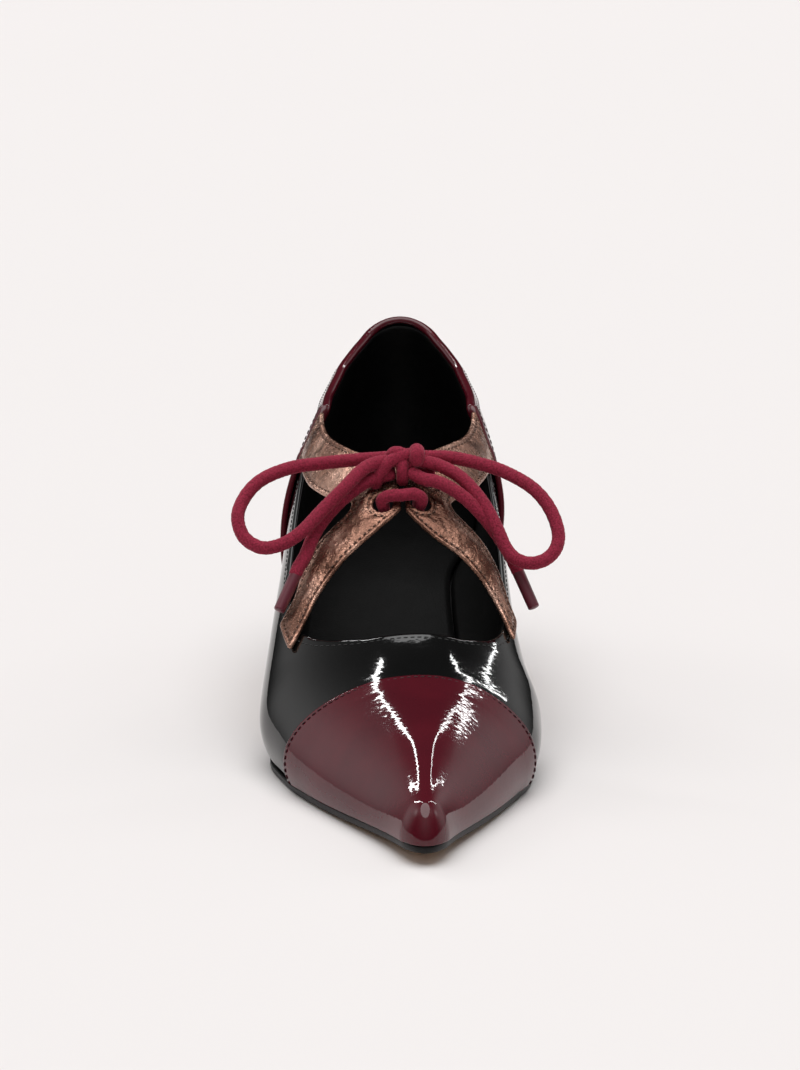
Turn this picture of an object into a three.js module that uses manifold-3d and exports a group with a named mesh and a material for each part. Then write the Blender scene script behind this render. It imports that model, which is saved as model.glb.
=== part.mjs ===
// A woman's pointed court shoe for the right foot, with two punched straps laced over the instep.
// Millimetres, +Z up. The toe points along -Y and the big-toe side of the foot is +X.
// It stands on the floor, and the origin is there, in the middle of the heel's top piece.
import * as THREE from "three";
import { mergeVertices } from "three/addons/utils/BufferGeometryUtils.js";
import { TessellateModifier } from "three/addons/modifiers/TessellateModifier.js";
import Module from "manifold-3d";

const wasm = await Module();
wasm.setup();

// The last, the foot form that the shoe is made over.
const LAST_LENGTH = 245; // heel back to toe tip, along the floor
const BALL_WIDTH = 76; // across the ball of the foot
const INSTEP_HEIGHT = 56; // seat to the top of the instep
const QUARTER_HEIGHT = 55; // seat to the topline at the back
const HEEL_HEIGHT = 44; // floor to the outsole's underside at the back
const TOE_SPRING = 3.6; // floor to the outsole's underside at the tip

// Thicknesses and clearances.
const SOLE = 2.2; // outsole
const SOLE_EDGE = 0.8; // outsole past the upper
const SOLE_BEVEL = 0.8; // the outsole's lower edge
const INSOLE = 1.6; // insole with its lining
const WALL = 1.6; // vamp and quarters, with their lining
const OVERLAY = 1.1; // toe cap and counter
const STRAP = 1.5; // instep straps
const GAP = 0.3; // between pieces that touch

// The heel block and its tread.
const TOP_PIECE = 4; // thickness
const TREAD_LENGTH = 34;
const TREAD_WIDTH = 36;
const TREAD_SETBACK = 24; // from the last's heel back to the tread's middle
const HEEL_SEAT_LENGTH = 50; // from the last's heel back to the heel's front face, at the top

// Lacing.
const LACE = 4; // diameter
const EYELET = 5.4; // diameter of the punched holes
const AGLET = 4.6; // diameter
const KNOT = { width: 10.6, height: 8, thickness: 7.6 };

// Stations run from the heel back (0) to the toe tip (1), as shares of LAST_LENGTH.
// The feather line, where upper and sole meet: its middle and its half widths, in BALL_WIDTH.
const FEATHER = [
  { at: 0.0, axis: 0.0, lateral: 0.31, medial: 0.31 },
  { at: 0.07, axis: 0.0, lateral: 0.31, medial: 0.31 },
  { at: 0.12, axis: 0.0, lateral: 0.315, medial: 0.31 },
  { at: 0.17, axis: 0.0, lateral: 0.335, medial: 0.3 },
  { at: 0.22, axis: 0.0, lateral: 0.35, medial: 0.27 },
  { at: 0.3, axis: 0.0, lateral: 0.365, medial: 0.2 },
  { at: 0.4, axis: 0.0, lateral: 0.385, medial: 0.215 },
  { at: 0.5, axis: 0.0, lateral: 0.425, medial: 0.3 },
  { at: 0.57, axis: 0.0, lateral: 0.45, medial: 0.4 },
  { at: 0.62, axis: 0.005, lateral: 0.466, medial: 0.46 },
  { at: 0.69, axis: 0.03, lateral: 0.436, medial: 0.434 },
  { at: 0.77, axis: 0.045, lateral: 0.346, medial: 0.344 },
  { at: 0.84, axis: 0.062, lateral: 0.248, medial: 0.248 },
  { at: 0.9, axis: 0.076, lateral: 0.156, medial: 0.156 },
  { at: 0.95, axis: 0.083, lateral: 0.085, medial: 0.085 },
  { at: 1.0, axis: 0.09, lateral: 0.032, medial: 0.032 },
];
const HEEL_ROUND = 0.12; // the stations over which the heel's back is rounded
const NOSE_ROUND = 0.022; // the same at the toe tip

// The sides above it. swell: how far a side is pulled out, in BALL_WIDTH, and rise: how high,
// in the rib's height. brow: how square the top is, in the rib's reach.
const SIDES = [
  { at: 0.0, swellL: 0.08, swellM: 0.08, rise: 0.42, browL: 0.58, browM: 0.58 },
  { at: 0.03, swellL: 0.055, swellM: 0.055, rise: 0.42, browL: 0.1, browM: 0.1 },
  { at: 0.07, swellL: 0.05, swellM: 0.05, rise: 0.42, browL: 0.07, browM: 0.07 },
  { at: 0.12, swellL: 0.055, swellM: 0.06, rise: 0.42, browL: 0.2, browM: 0.2 },
  { at: 0.17, swellL: 0.095, swellM: 0.14, rise: 0.42, browL: 0.3, browM: 0.32 },
  { at: 0.22, swellL: 0.135, swellM: 0.24, rise: 0.42, browL: 0.45, browM: 0.5 },
  { at: 0.3, swellL: 0.17, swellM: 0.38, rise: 0.45, browL: 0.72, browM: 0.95 },
  { at: 0.4, swellL: 0.18, swellM: 0.4, rise: 0.48, browL: 0.76, browM: 1.05 },
  { at: 0.5, swellL: 0.18, swellM: 0.3, rise: 0.5, browL: 0.74, browM: 0.9 },
  { at: 0.57, swellL: 0.19, swellM: 0.21, rise: 0.52, browL: 0.7, browM: 0.72 },
  { at: 0.62, swellL: 0.18, swellM: 0.17, rise: 0.52, browL: 0.66, browM: 0.62 },
  { at: 0.69, swellL: 0.14, swellM: 0.14, rise: 0.5, browL: 0.62, browM: 0.6 },
  { at: 0.77, swellL: 0.08, swellM: 0.08, rise: 0.45, browL: 0.5, browM: 0.5 },
  { at: 0.84, swellL: 0.04, swellM: 0.04, rise: 0.42, browL: 0.45, browM: 0.45 },
  { at: 0.9, swellL: 0.02, swellM: 0.02, rise: 0.42, browL: 0.42, browM: 0.42 },
  { at: 1.0, swellL: 0.0, swellM: 0.0, rise: 0.45, browL: 0.55, browM: 0.55 },
];

// The ridge along the top: its place, in BALL_WIDTH, and its height above the seat, in INSTEP_HEIGHT.
const RIDGE = [
  { at: 0.0, x: 0.0, height: 1.38 },
  { at: 0.12, x: 0.0, height: 1.32 },
  { at: 0.17, x: 0.0, height: 1.25 },
  { at: 0.22, x: 0.0, height: 1.17 },
  { at: 0.3, x: 0.0, height: 1.03 },
  { at: 0.4, x: 0.0, height: 0.975 },
  { at: 0.5, x: 0.02, height: 0.91 },
  { at: 0.57, x: 0.05, height: 0.8 },
  { at: 0.62, x: 0.075, height: 0.68 },
  { at: 0.69, x: 0.085, height: 0.56 },
  { at: 0.77, x: 0.09, height: 0.465 },
  { at: 0.84, x: 0.09, height: 0.37 },
  { at: 0.9, x: 0.09, height: 0.27 },
  { at: 0.95, x: 0.09, height: 0.185 },
  { at: 1.0, x: 0.09, height: 0.11 },
];
const HEEL_FAN = 0.12; // ribs behind this station gather towards it at the ridge,
const HEEL_GATHER = 0.4; // to this share of their spacing
const NOSE_FAN = 0.96; // the same in front of this station
const NOSE_GATHER = 0.35;

// The outsole's underside: heel, in HEEL_HEIGHT, and toe, in TOE_SPRING. The ball lies flat.
const GROUND = [
  { at: 0.0, heel: 1.0, toe: 0 },
  { at: 0.1, heel: 0.95, toe: 0 },
  { at: 0.2, heel: 0.87, toe: 0 },
  { at: 0.28, heel: 0.75, toe: 0 },
  { at: 0.36, heel: 0.57, toe: 0 },
  { at: 0.44, heel: 0.36, toe: 0 },
  { at: 0.51, heel: 0.16, toe: 0 },
  { at: 0.56, heel: 0.04, toe: 0 },
  { at: 0.6, heel: 0, toe: 0 },
  { at: 0.712, heel: 0, toe: 0 },
  { at: 0.8, heel: 0, toe: 0.16 },
  { at: 0.9, heel: 0, toe: 0.5 },
  { at: 1.0, heel: 0, toe: 1.0 },
];

// The topline from the back to the throat: heights above the seat, in QUARTER_HEIGHT.
const TOPLINE = [
  { at: 0.0, height: 1.02 },
  { at: 0.03, height: 0.96 },
  { at: 0.07, height: 0.915 },
  { at: 0.13, height: 0.87 },
  { at: 0.19, height: 0.86 },
  { at: 0.245, height: 0.88 },
  { at: 0.285, height: 0.68 },
  { at: 0.35, height: 0.63 },
  { at: 0.43, height: 0.61 },
  { at: 0.51, height: 0.61 },
  { at: 0.57, height: 0.62 },
  { at: 0.61, height: 0.63 },
  { at: 0.63, height: 0.66 },
];
const THROAT = 0.642; // station of the throat's front edge

// Seams from the side: stations at heights above the seat, in QUARTER_HEIGHT.
const CAP_SEAM = [
  { at: 0.0, station: 0.72 },
  { at: 1.2, station: 0.722 },
];
const COUNTER_SEAM = [
  { at: 0.0, station: 0.34 },
  { at: 0.3, station: 0.315 },
  { at: 0.7, station: 0.285 },
  { at: 0.92, station: 0.243 },
];

// The straps, laid flat: stations, and how far down the rib from the ridge. Front and outer edges
// run from the centre down the front arm and back to the crotch, lower and upper edges out along
// the rear arm and back to the centre.
const STRAPS = [
  {
    name: "lateral",
    side: -1,
    front: [
      { at: 0.476, down: 0.007 }, { at: 0.488, down: 0.05 }, { at: 0.508, down: 0.15 },
      { at: 0.526, down: 0.26 }, { at: 0.551, down: 0.375 }, { at: 0.575, down: 0.45 },
      { at: 0.598, down: 0.54 },
    ],
    outer: [
      { at: 0.545, down: 0.56 }, { at: 0.53, down: 0.475 }, { at: 0.512, down: 0.435 },
      { at: 0.484, down: 0.35 }, { at: 0.471, down: 0.25 }, { at: 0.463, down: 0.205 },
      { at: 0.454, down: 0.195 }, { at: 0.446, down: 0.22 },
    ],
    lower: [
      { at: 0.441, down: 0.255 }, { at: 0.416, down: 0.32 }, { at: 0.379, down: 0.395 },
      { at: 0.345, down: 0.44 }, { at: 0.285, down: 0.505 }, { at: 0.23, down: 0.54 },
    ],
    upper: [
      { at: 0.2, down: 0.38 }, { at: 0.245, down: 0.36 }, { at: 0.285, down: 0.335 },
      { at: 0.318, down: 0.3 }, { at: 0.352, down: 0.238 }, { at: 0.384, down: 0.155 },
      { at: 0.402, down: 0.075 }, { at: 0.411, down: 0.007 },
    ],
    eyelets: [{ at: 0.466, down: 0.09 }, { at: 0.431, down: 0.085 }],
  },
  {
    name: "medial",
    side: 1,
    front: [
      { at: 0.478, down: 0.007 }, { at: 0.492, down: 0.045 }, { at: 0.508, down: 0.12 },
      { at: 0.52, down: 0.24 }, { at: 0.534, down: 0.33 }, { at: 0.553, down: 0.41 },
      { at: 0.582, down: 0.485 },
    ],
    outer: [
      { at: 0.536, down: 0.53 }, { at: 0.522, down: 0.475 }, { at: 0.5, down: 0.43 },
      { at: 0.478, down: 0.345 }, { at: 0.467, down: 0.25 }, { at: 0.461, down: 0.205 },
      { at: 0.453, down: 0.19 }, { at: 0.445, down: 0.205 },
    ],
    lower: [
      { at: 0.434, down: 0.24 }, { at: 0.405, down: 0.305 }, { at: 0.375, down: 0.355 },
      { at: 0.345, down: 0.4 }, { at: 0.285, down: 0.485 }, { at: 0.23, down: 0.53 },
    ],
    upper: [
      { at: 0.19, down: 0.37 }, { at: 0.24, down: 0.345 }, { at: 0.285, down: 0.315 },
      { at: 0.327, down: 0.258 }, { at: 0.358, down: 0.188 }, { at: 0.384, down: 0.115 },
      { at: 0.403, down: 0.055 }, { at: 0.412, down: 0.007 },
    ],
    eyelets: [{ at: 0.464, down: 0.085 }, { at: 0.431, down: 0.085 }],
  },
];

// The bow as it lies, by its middle line.
const KNOT_STATION = 0.428;
const BOW = [
  {
    name: "lateral",
    loop: [
      [-6.2, -82.5, 81.5], [-12, -83.5, 81.5], [-22.5, -84, 80], [-32.5, -86.5, 78.5], [-41, -90.5, 75.5],
      [-45.5, -94.5, 71], [-47, -98.5, 66.5], [-45, -101.5, 61.5], [-40, -103.5, 59], [-34.5, -104, 60],
      [-29, -102.5, 63], [-22.5, -98, 68.8], [-16, -94.7, 74.8], [-11, -90.5, 79], [-7.4, -87.6, 80.3],
    ],
    end: [
      [-9, -88.3, 75.3], [-15, -90, 71.6], [-20.5, -93, 66.8], [-24.5, -97, 62], [-27.5, -102, 56],
      [-29.5, -104.5, 53],
    ],
    aglet: [[-29.6, -104.9, 52.5], [-35, -111.5, 42]],
  },
  {
    name: "medial",
    loop: [
      [8.5, -82.5, 81], [14.5, -83, 81], [24.5, -84, 79], [31, -85.5, 77], [39, -89.5, 73],
      [44.5, -93.5, 67], [46, -97.5, 61.5], [44.5, -101, 56], [40, -102.5, 54], [36, -102, 55],
      [31.5, -100, 58.5], [24.5, -95.2, 69.2], [18.5, -91.6, 75.7], [14, -89.6, 78], [10, -88, 79.5],
    ],
    end: [
      [11.2, -88, 74.2], [18, -89.5, 70.2], [24.5, -91, 64.5], [30.5, -93.5, 57],
      [33.5, -96.5, 52],
    ],
    aglet: [[33.7, -96.8, 51.5], [39, -102.5, 40.5]],
  },
];

// How finely things are faceted.
const RIBS = 72;
const RUNGS = [0, 0.07, 0.17, 0.29, 0.41, 0.53, 0.65, 0.77, 0.88, 0.96];
const NUDGE = 0.004; // the step for finding the surface's slope
const STRAP_MESH = 8; // longest edge of a strap's facets

const BLACK = 0x111112;
const BURGUNDY = 0x4a0f1e;
const BRONZE = 0x6b4a3c;
const CRIMSON = 0x6e1428;

const SEAT = SOLE + GAP; // from the outsole's underside to the feather line
const EDGE = WALL + SOLE_EDGE; // from the feather line out to the outsole's edge
const OVER = WALL + GAP; // from the last out to the overlays and straps
const HEEL_BACK = TREAD_SETBACK; // Y of the last's heel back

// A smooth value of one column of a table. It never overshoots the rows on either side.
function value(rows, column, at) {
  const last = rows.length - 1;
  let i = 0;
  while (i < last - 1 && rows[i + 1].at <= at) i += 1;
  const grade = (j) => (rows[j + 1][column] - rows[j][column]) / (rows[j + 1].at - rows[j].at);
  const slope = (j) => {
    if (j === 0) return grade(0);
    if (j === last) return grade(last - 1);
    const before = grade(j - 1);
    const after = grade(j);
    return before * after <= 0 ? 0 : (2 * before * after) / (before + after);
  };
  const span = rows[i + 1].at - rows[i].at;
  const t = THREE.MathUtils.clamp((at - rows[i].at) / span, 0, 1);
  const ease = t * t * (3 - 2 * t);
  const bow = span * t * (1 - t) * ((1 - t) * slope(i) - t * slope(i + 1));
  return THREE.MathUtils.lerp(rows[i][column], rows[i + 1][column], ease) + bow;
}

const along = (at) => HEEL_BACK - at * LAST_LENGTH;
const ground = (at) => HEEL_HEIGHT * value(GROUND, "heel", at) + TOE_SPRING * value(GROUND, "toe", at);

// How far the feather line has closed in at the rounded ends.
function rounding(at) {
  const heel = Math.max(0, 1 - at / HEEL_ROUND);
  const nose = Math.max(0, (at - 1 + NOSE_ROUND) / NOSE_ROUND);
  return Math.sqrt(1 - Math.min(1, heel * heel)) * Math.sqrt(1 - Math.min(1, nose * nose));
}

// Round the last, a turn of 0 is the heel's back, PI is the toe tip, and the sign is the side.
const stationOf = (turn) => 0.5 - 0.5 * Math.cos(turn);
const turnOf = (at, side) => side * Math.acos(1 - 2 * at);

// One rib: a curve from the feather line up to the ridge.
function rib(turn) {
  const at = stationOf(turn);
  const lateral = Math.sin(turn) < 0;
  let top = at;
  if (at < HEEL_FAN) top = HEEL_FAN + (at - HEEL_FAN) * HEEL_GATHER;
  if (at > NOSE_FAN) top = NOSE_FAN + (at - NOSE_FAN) * NOSE_GATHER;
  const half = value(FEATHER, lateral ? "lateral" : "medial", at) * rounding(at);
  const foot = new THREE.Vector3(
    (value(FEATHER, "axis", at) + (lateral ? -half : half)) * BALL_WIDTH,
    along(at),
    ground(at) + SEAT,
  );
  const ridge = new THREE.Vector3(
    value(RIDGE, "x", top) * BALL_WIDTH,
    along(top),
    ground(top) + SEAT + value(RIDGE, "height", top) * INSTEP_HEIGHT,
  );
  const reach = new THREE.Vector3(foot.x - ridge.x, foot.y - ridge.y, 0);
  const swell = reach.clone().setLength(value(SIDES, lateral ? "swellL" : "swellM", at) * BALL_WIDTH);
  swell.setZ(value(SIDES, "rise", at) * (ridge.z - foot.z)).add(foot);
  const brow = reach.clone().multiplyScalar(value(SIDES, lateral ? "browL" : "browM", at)).add(ridge);
  return new THREE.CubicBezierCurve3(foot, swell, brow, ridge);
}

// A point at a share of a rib, moved out from the last along its surface's normal.
function skin(turn, share, out) {
  const here = rib(turn);
  const up = here.getPoint(Math.min(1, share + NUDGE)).sub(here.getPoint(Math.max(0, share - NUDGE)));
  const ahead = rib(turn + NUDGE).getPoint(share).sub(rib(turn - NUDGE).getPoint(share));
  const normal = up.cross(ahead);
  if (share === 0) normal.setZ(0);
  return here.getPoint(share).addScaledVector(normal.normalize(), out);
}

// The same by station, side and how far down the rib from the ridge.
function place({ at, down }, side, out) {
  const turn = turnOf(at, side);
  return skin(turn, rib(turn).getUtoTmapping(1 - down), out);
}

function solid(geometry) {
  const g = geometry.clone();
  g.deleteAttribute("normal");
  g.deleteAttribute("uv");
  const merged = mergeVertices(g, 1e-4);
  return new wasm.Manifold(new wasm.Mesh({
    numProp: 3,
    vertProperties: merged.attributes.position.array,
    triVerts: new Uint32Array(merged.index.array),
  }));
}

// A solid from rings of points. Strips across the shoe close its two ends.
function loft(rings) {
  const n = rings[0].length;
  const index = [];
  const triangle = (a, b, c) => {
    if (a !== b && b !== c && a !== c) index.push(a, b, c);
  };
  for (let k = 0; k + 1 < rings.length; k += 1) {
    for (let i = 0; i < n; i += 1) {
      const a = k * n + i;
      const b = k * n + ((i + 1) % n);
      triangle(a, b + n, b);
      triangle(a, a + n, b + n);
    }
  }
  const close = (base, top) => {
    for (let i = 0; i < n / 2; i += 1) {
      const a = base + i;
      const b = base + i + 1;
      const c = base + ((n - i - 1) % n);
      const d = base + ((n - i) % n);
      triangle(a, top ? c : b, top ? b : c);
      triangle(a, top ? d : c, top ? c : d);
    }
  };
  close(0, false);
  close((rings.length - 1) * n, true);
  const g = new THREE.BufferGeometry();
  const positions = rings.flat().flatMap((p) => p.toArray());
  g.setAttribute("position", new THREE.Float32BufferAttribute(positions, 3));
  g.setIndex(index);
  return solid(g);
}

const TURNS = Array.from({ length: RIBS }, (_, i) => (2 * Math.PI * i) / RIBS);
const ring = (share, out) => TURNS.map((turn) => skin(turn, share, out));
const raised = (points, height) => points.map((p) => new THREE.Vector3(p.x, p.y, p.z + height));

// The last as a solid, moved out all over. drop lowers its underside, so that it cuts right through.
function form(out, drop = 0) {
  const rings = RUNGS.map((share) => ring(share, out));
  if (drop > 0) rings.unshift(raised(rings[0], -drop));
  return loft(rings);
}

// A plate under the foot: rings of the feather line, each moved out, at heights above the ground.
function plate(levels) {
  return loft(levels.map(({ out, height }) => raised(ring(0, out), height - SEAT)));
}

// A side view outline, given as points of Y and Z, run across the whole shoe.
function across(points) {
  const g = new THREE.ExtrudeGeometry(new THREE.Shape(points), { depth: 2 * BALL_WIDTH, bevelEnabled: false });
  g.translate(0, 0, -BALL_WIDTH);
  const turned = new THREE.Matrix4().set(0, 0, 1, 0, 1, 0, 0, 0, 0, 1, 0, 0, 0, 0, 0, 1);
  return solid(g.applyMatrix4(turned));
}

const SKY = HEEL_HEIGHT + 2 * INSTEP_HEIGHT + QUARTER_HEIGHT; // above everything
const sideView = (at, height) => new THREE.Vector2(along(at), ground(at) + SEAT + height * QUARTER_HEIGHT);

// Everything above the topline, from the heel's back to the throat.
function opening() {
  const end = TOPLINE[TOPLINE.length - 1].at;
  const behind = HEEL_BACK + BALL_WIDTH;
  const steps = 32;
  const points = [new THREE.Vector2(behind, SKY), new THREE.Vector2(behind, sideView(0, 1).y)];
  for (let i = 0; i <= steps; i += 1) {
    const at = (end * i) / steps;
    points.push(sideView(at, value(TOPLINE, "height", at)));
  }
  points.push(sideView(THROAT, INSTEP_HEIGHT / QUARTER_HEIGHT), new THREE.Vector2(along(THROAT), SKY));
  return across(points);
}

// Everything on one side of a seam: towards is 1 for its toe side and -1 for its heel side.
function beyond(seam, towards, clearance = 0) {
  const top = seam[seam.length - 1].at;
  const steps = 6;
  const points = [];
  for (let i = 0; i <= steps; i += 1) {
    const height = (top * i) / steps;
    const point = sideView(value(seam, "station", height), height);
    points.push(new THREE.Vector2(point.x - towards * clearance, point.y));
  }
  const far = along(0.5) - towards * 2 * LAST_LENGTH;
  return across([
    new THREE.Vector2(points[0].x, -SKY),
    ...points,
    new THREE.Vector2(points[steps].x, SKY),
    new THREE.Vector2(far, SKY),
    new THREE.Vector2(far, -SKY),
  ]);
}

// Swaps two corners of every triangle.
function turnInsideOut(positions) {
  const a = new THREE.Vector3();
  const b = new THREE.Vector3();
  for (let i = 0; i < positions.count; i += 3) {
    a.fromBufferAttribute(positions, i + 1);
    b.fromBufferAttribute(positions, i + 2);
    positions.setXYZ(i + 1, b.x, b.y, b.z);
    positions.setXYZ(i + 2, a.x, a.y, a.z);
  }
}

// A strap: cut flat with its eyelets, then bent over the last. It ends at the counter.
function strap({ side, front, outer, lower, upper, eyelets }) {
  const girth = (at) => rib(turnOf(at, side)).getLength();
  const flat = ({ at, down }) => new THREE.Vector2(at * LAST_LENGTH, down * girth(at));
  const smooth = (rows) => new THREE.SplineCurve(rows.map(flat)).getPoints(2 * rows.length - 3);
  const shape = new THREE.Shape([front, outer, lower, upper].flatMap(smooth));
  for (const eyelet of eyelets) {
    const centre = flat(eyelet);
    const hole = new THREE.Path();
    hole.absarc(centre.x, centre.y, EYELET / 2, 0, 2 * Math.PI);
    shape.holes.push(hole);
  }
  const sheet = new THREE.ExtrudeGeometry(shape, { depth: STRAP, bevelEnabled: false, curveSegments: 5 });
  sheet.deleteAttribute("normal");
  sheet.deleteAttribute("uv");
  const g = new TessellateModifier(STRAP_MESH, 8).modify(sheet);
  const p = g.attributes.position;
  for (let i = 0; i < p.count; i += 1) {
    const at = p.getX(i) / LAST_LENGTH;
    const bent = place({ at, down: p.getY(i) / girth(at) }, side, OVER + p.getZ(i));
    p.setXYZ(i, bent.x, bent.y, bent.z);
  }
  if (side < 0) turnInsideOut(p);
  return solid(g).intersect(beyond(COUNTER_SEAM, 1, GAP));
}

// The heel from the tread (0) to the seat (1): how much of the spread between them is reached.
const HEEL_SWEEP = [
  { at: 0, spread: 0 },
  { at: 0.35, spread: 0.12 },
  { at: 0.7, spread: 0.5 },
  { at: 1, spread: 1 },
];
const HEEL_STEPS = 10; // facets along each side

// The heel's outline at the seat: the feather line's, and straight across the breast.
function heelSeat() {
  const seat = turnOf(HEEL_SEAT_LENGTH / LAST_LENGTH, 1);
  const flank = (side) => Array.from(
    { length: HEEL_STEPS },
    (_, i) => skin((side * seat * (i + 1)) / HEEL_STEPS, 0, WALL),
  );
  const medial = flank(1);
  const lateral = flank(-1).reverse();
  const front = medial[HEEL_STEPS - 1].clone().lerp(lateral[0], 0.5);
  return [skin(0, 0, WALL), ...medial, front, ...lateral];
}
const HEEL_SEAT = heelSeat();

// The outline between the tread (0) and the seat (1).
function heelRing(spread, heightAt) {
  const front = HEEL_SEAT[HEEL_SEAT.length / 2].y;
  const widths = HEEL_SEAT.map((p) => p.x);
  const narrow = TREAD_WIDTH / (Math.max(...widths) - Math.min(...widths));
  return HEEL_SEAT.map((p) => {
    const tread = THREE.MathUtils.mapLinear(p.y, front, HEEL_SEAT[0].y, -TREAD_LENGTH / 2, TREAD_LENGTH / 2);
    const x = p.x * THREE.MathUtils.lerp(narrow, 1, spread);
    const y = THREE.MathUtils.lerp(tread, p.y, spread);
    return new THREE.Vector3(x, y, heightAt(y));
  });
}

function heelBlock() {
  const base = TOP_PIECE + GAP;
  const under = (y) => ground(Math.max(0, (HEEL_BACK - y) / LAST_LENGTH)) - GAP;
  return loft(HEEL_SWEEP.map(({ at, spread }) => heelRing(
    spread,
    (y) => THREE.MathUtils.lerp(base, under(y), at),
  )));
}

// A round cord along points.
function cord(points, diameter, steps) {
  const section = new THREE.Shape();
  section.absarc(0, 0, diameter / 2, 0, 2 * Math.PI);
  const route = new THREE.CatmullRomCurve3(points, false, "centripetal");
  return solid(new THREE.ExtrudeGeometry(section, {
    steps,
    extrudePath: route,
    curveSegments: 4,
    bevelEnabled: false,
  }));
}

// The lace through the four eyelets: down each upper one, up the lower one and over in a bar.
function lacing() {
  const top = OVER + STRAP;
  const over = top + LACE / 2 + GAP;
  const straight = LACE / 4; // how far it runs straight past an eyelet
  const half = ({ side, eyelets: [low, high] }) => [
    place(high, side, over),
    place(high, side, OVER - straight),
    place({ at: (low.at + high.at) / 2, down: (low.down + high.down) / 2 }, side, OVER - LACE),
    place(low, side, OVER - straight),
    place(low, side, top + straight),
    place({ at: low.at, down: 0.6 * low.down }, side, over),
  ];
  const [lateral, medial] = STRAPS.map(half);
  const bar = place({ at: STRAPS[0].eyelets[0].at, down: 0 }, 1, over);
  return cord([...lateral, bar, ...medial.reverse()], LACE, 38);
}

// The knot of the bow, as one plain lump over the ridge.
function knot() {
  const lump = new THREE.SphereGeometry(0.5, 14, 9);
  lump.scale(KNOT.width, KNOT.height, KNOT.thickness);
  const low = place({ at: KNOT_STATION + 0.01, down: 0 }, 1, 0);
  const slope = place({ at: KNOT_STATION - 0.01, down: 0 }, 1, 0).sub(low);
  lump.rotateX(Math.atan2(slope.z, slope.y));
  const centre = place({ at: KNOT_STATION, down: 0 }, 1, OVER + STRAP + GAP + KNOT.thickness / 2);
  return solid(lump.translate(centre.x, centre.y, centre.z));
}

const shoe = new THREE.Group();

// Adds a piece as a mesh of its own.
function add(name, body, color, roughness, metalness = 0) {
  const made = body.getMesh();
  const g = new THREE.BufferGeometry();
  g.setAttribute("position", new THREE.BufferAttribute(new Float32Array(made.vertProperties), made.numProp));
  g.setIndex(new THREE.BufferAttribute(new Uint32Array(made.triVerts), 1));
  g.computeVertexNormals();
  const mesh = new THREE.Mesh(g, new THREE.MeshStandardMaterial({ color, roughness, metalness }));
  mesh.name = name;
  shoe.add(mesh);
}

const mouth = opening();
add("upper", form(WALL).subtract(form(0, WALL)).subtract(mouth), BLACK, 0.15);
const cover = form(OVER + OVERLAY).subtract(form(OVER, WALL)).subtract(mouth);
add("toe_cap", cover.intersect(beyond(CAP_SEAM, 1)), BURGUNDY, 0.15);
add("counter", cover.intersect(beyond(COUNTER_SEAM, -1)), BURGUNDY, 0.15);
for (const one of STRAPS) add(`strap_${one.name}`, strap(one), BRONZE, 0.3, 0.6);

add("insole", plate([{ out: -GAP, height: SEAT }, { out: -2 * GAP, height: SEAT + INSOLE }]), BLACK, 0.6);
add("outsole", plate([
  { out: EDGE - SOLE_BEVEL, height: 0 },
  { out: EDGE, height: SOLE_BEVEL },
  { out: EDGE, height: SOLE },
]), BLACK, 0.5);
add("heel", heelBlock(), BLACK, 0.15);
add("top_piece", loft([heelRing(0, () => 0), heelRing(0, () => TOP_PIECE)]), BLACK, 0.7);

add("lace", lacing(), CRIMSON, 0.8);
add("bow_knot", knot(), CRIMSON, 0.8);
const vectors = (points) => points.map((p) => new THREE.Vector3(...p));
for (const { name, loop, end, aglet } of BOW) {
  add(`bow_loop_${name}`, cord(vectors(loop), LACE, 26), CRIMSON, 0.8);
  add(`lace_end_${name}`, cord(vectors(end), LACE, 8), CRIMSON, 0.8);
  add(`aglet_${name}`, cord(vectors(aglet), AGLET, 1), BURGUNDY, 0.35);
}

export default shoe;
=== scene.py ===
# %% [markdown]
# # A pointed court shoe, laced over the instep
#
# The real shoe is made over a last, a solid copy of the foot. So is this one: the last is a
# function, and every piece of leather is a sheet of points taken at a known distance from it.
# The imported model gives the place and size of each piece, and this script gives it its finish.

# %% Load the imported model
import math
import bpy
import numpy as np
from mathutils import Matrix, Vector


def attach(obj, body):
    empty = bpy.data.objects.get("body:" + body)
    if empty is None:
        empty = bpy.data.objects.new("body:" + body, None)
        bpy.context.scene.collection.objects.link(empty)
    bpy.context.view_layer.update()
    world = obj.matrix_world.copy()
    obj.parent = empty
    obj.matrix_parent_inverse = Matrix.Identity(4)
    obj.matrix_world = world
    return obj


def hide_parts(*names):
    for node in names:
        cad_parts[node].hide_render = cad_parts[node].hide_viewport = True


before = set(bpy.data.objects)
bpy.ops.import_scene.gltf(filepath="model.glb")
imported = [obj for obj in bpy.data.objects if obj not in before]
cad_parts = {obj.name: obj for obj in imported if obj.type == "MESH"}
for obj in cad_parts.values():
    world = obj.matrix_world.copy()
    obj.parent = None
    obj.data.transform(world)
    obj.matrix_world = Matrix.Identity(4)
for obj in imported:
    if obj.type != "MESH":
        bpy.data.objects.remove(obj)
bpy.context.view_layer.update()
scene = bpy.context.scene
MM = 0.001
print("solids:", ", ".join(sorted(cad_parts)))

# %% [markdown]
# The camera stands in front of the toe, a little above it and far away, with a long lens. A long
# lens keeps the far heel nearly as large as the near toe. The lens is given for a 36 mm film
# whose long side is the picture's height.

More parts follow.
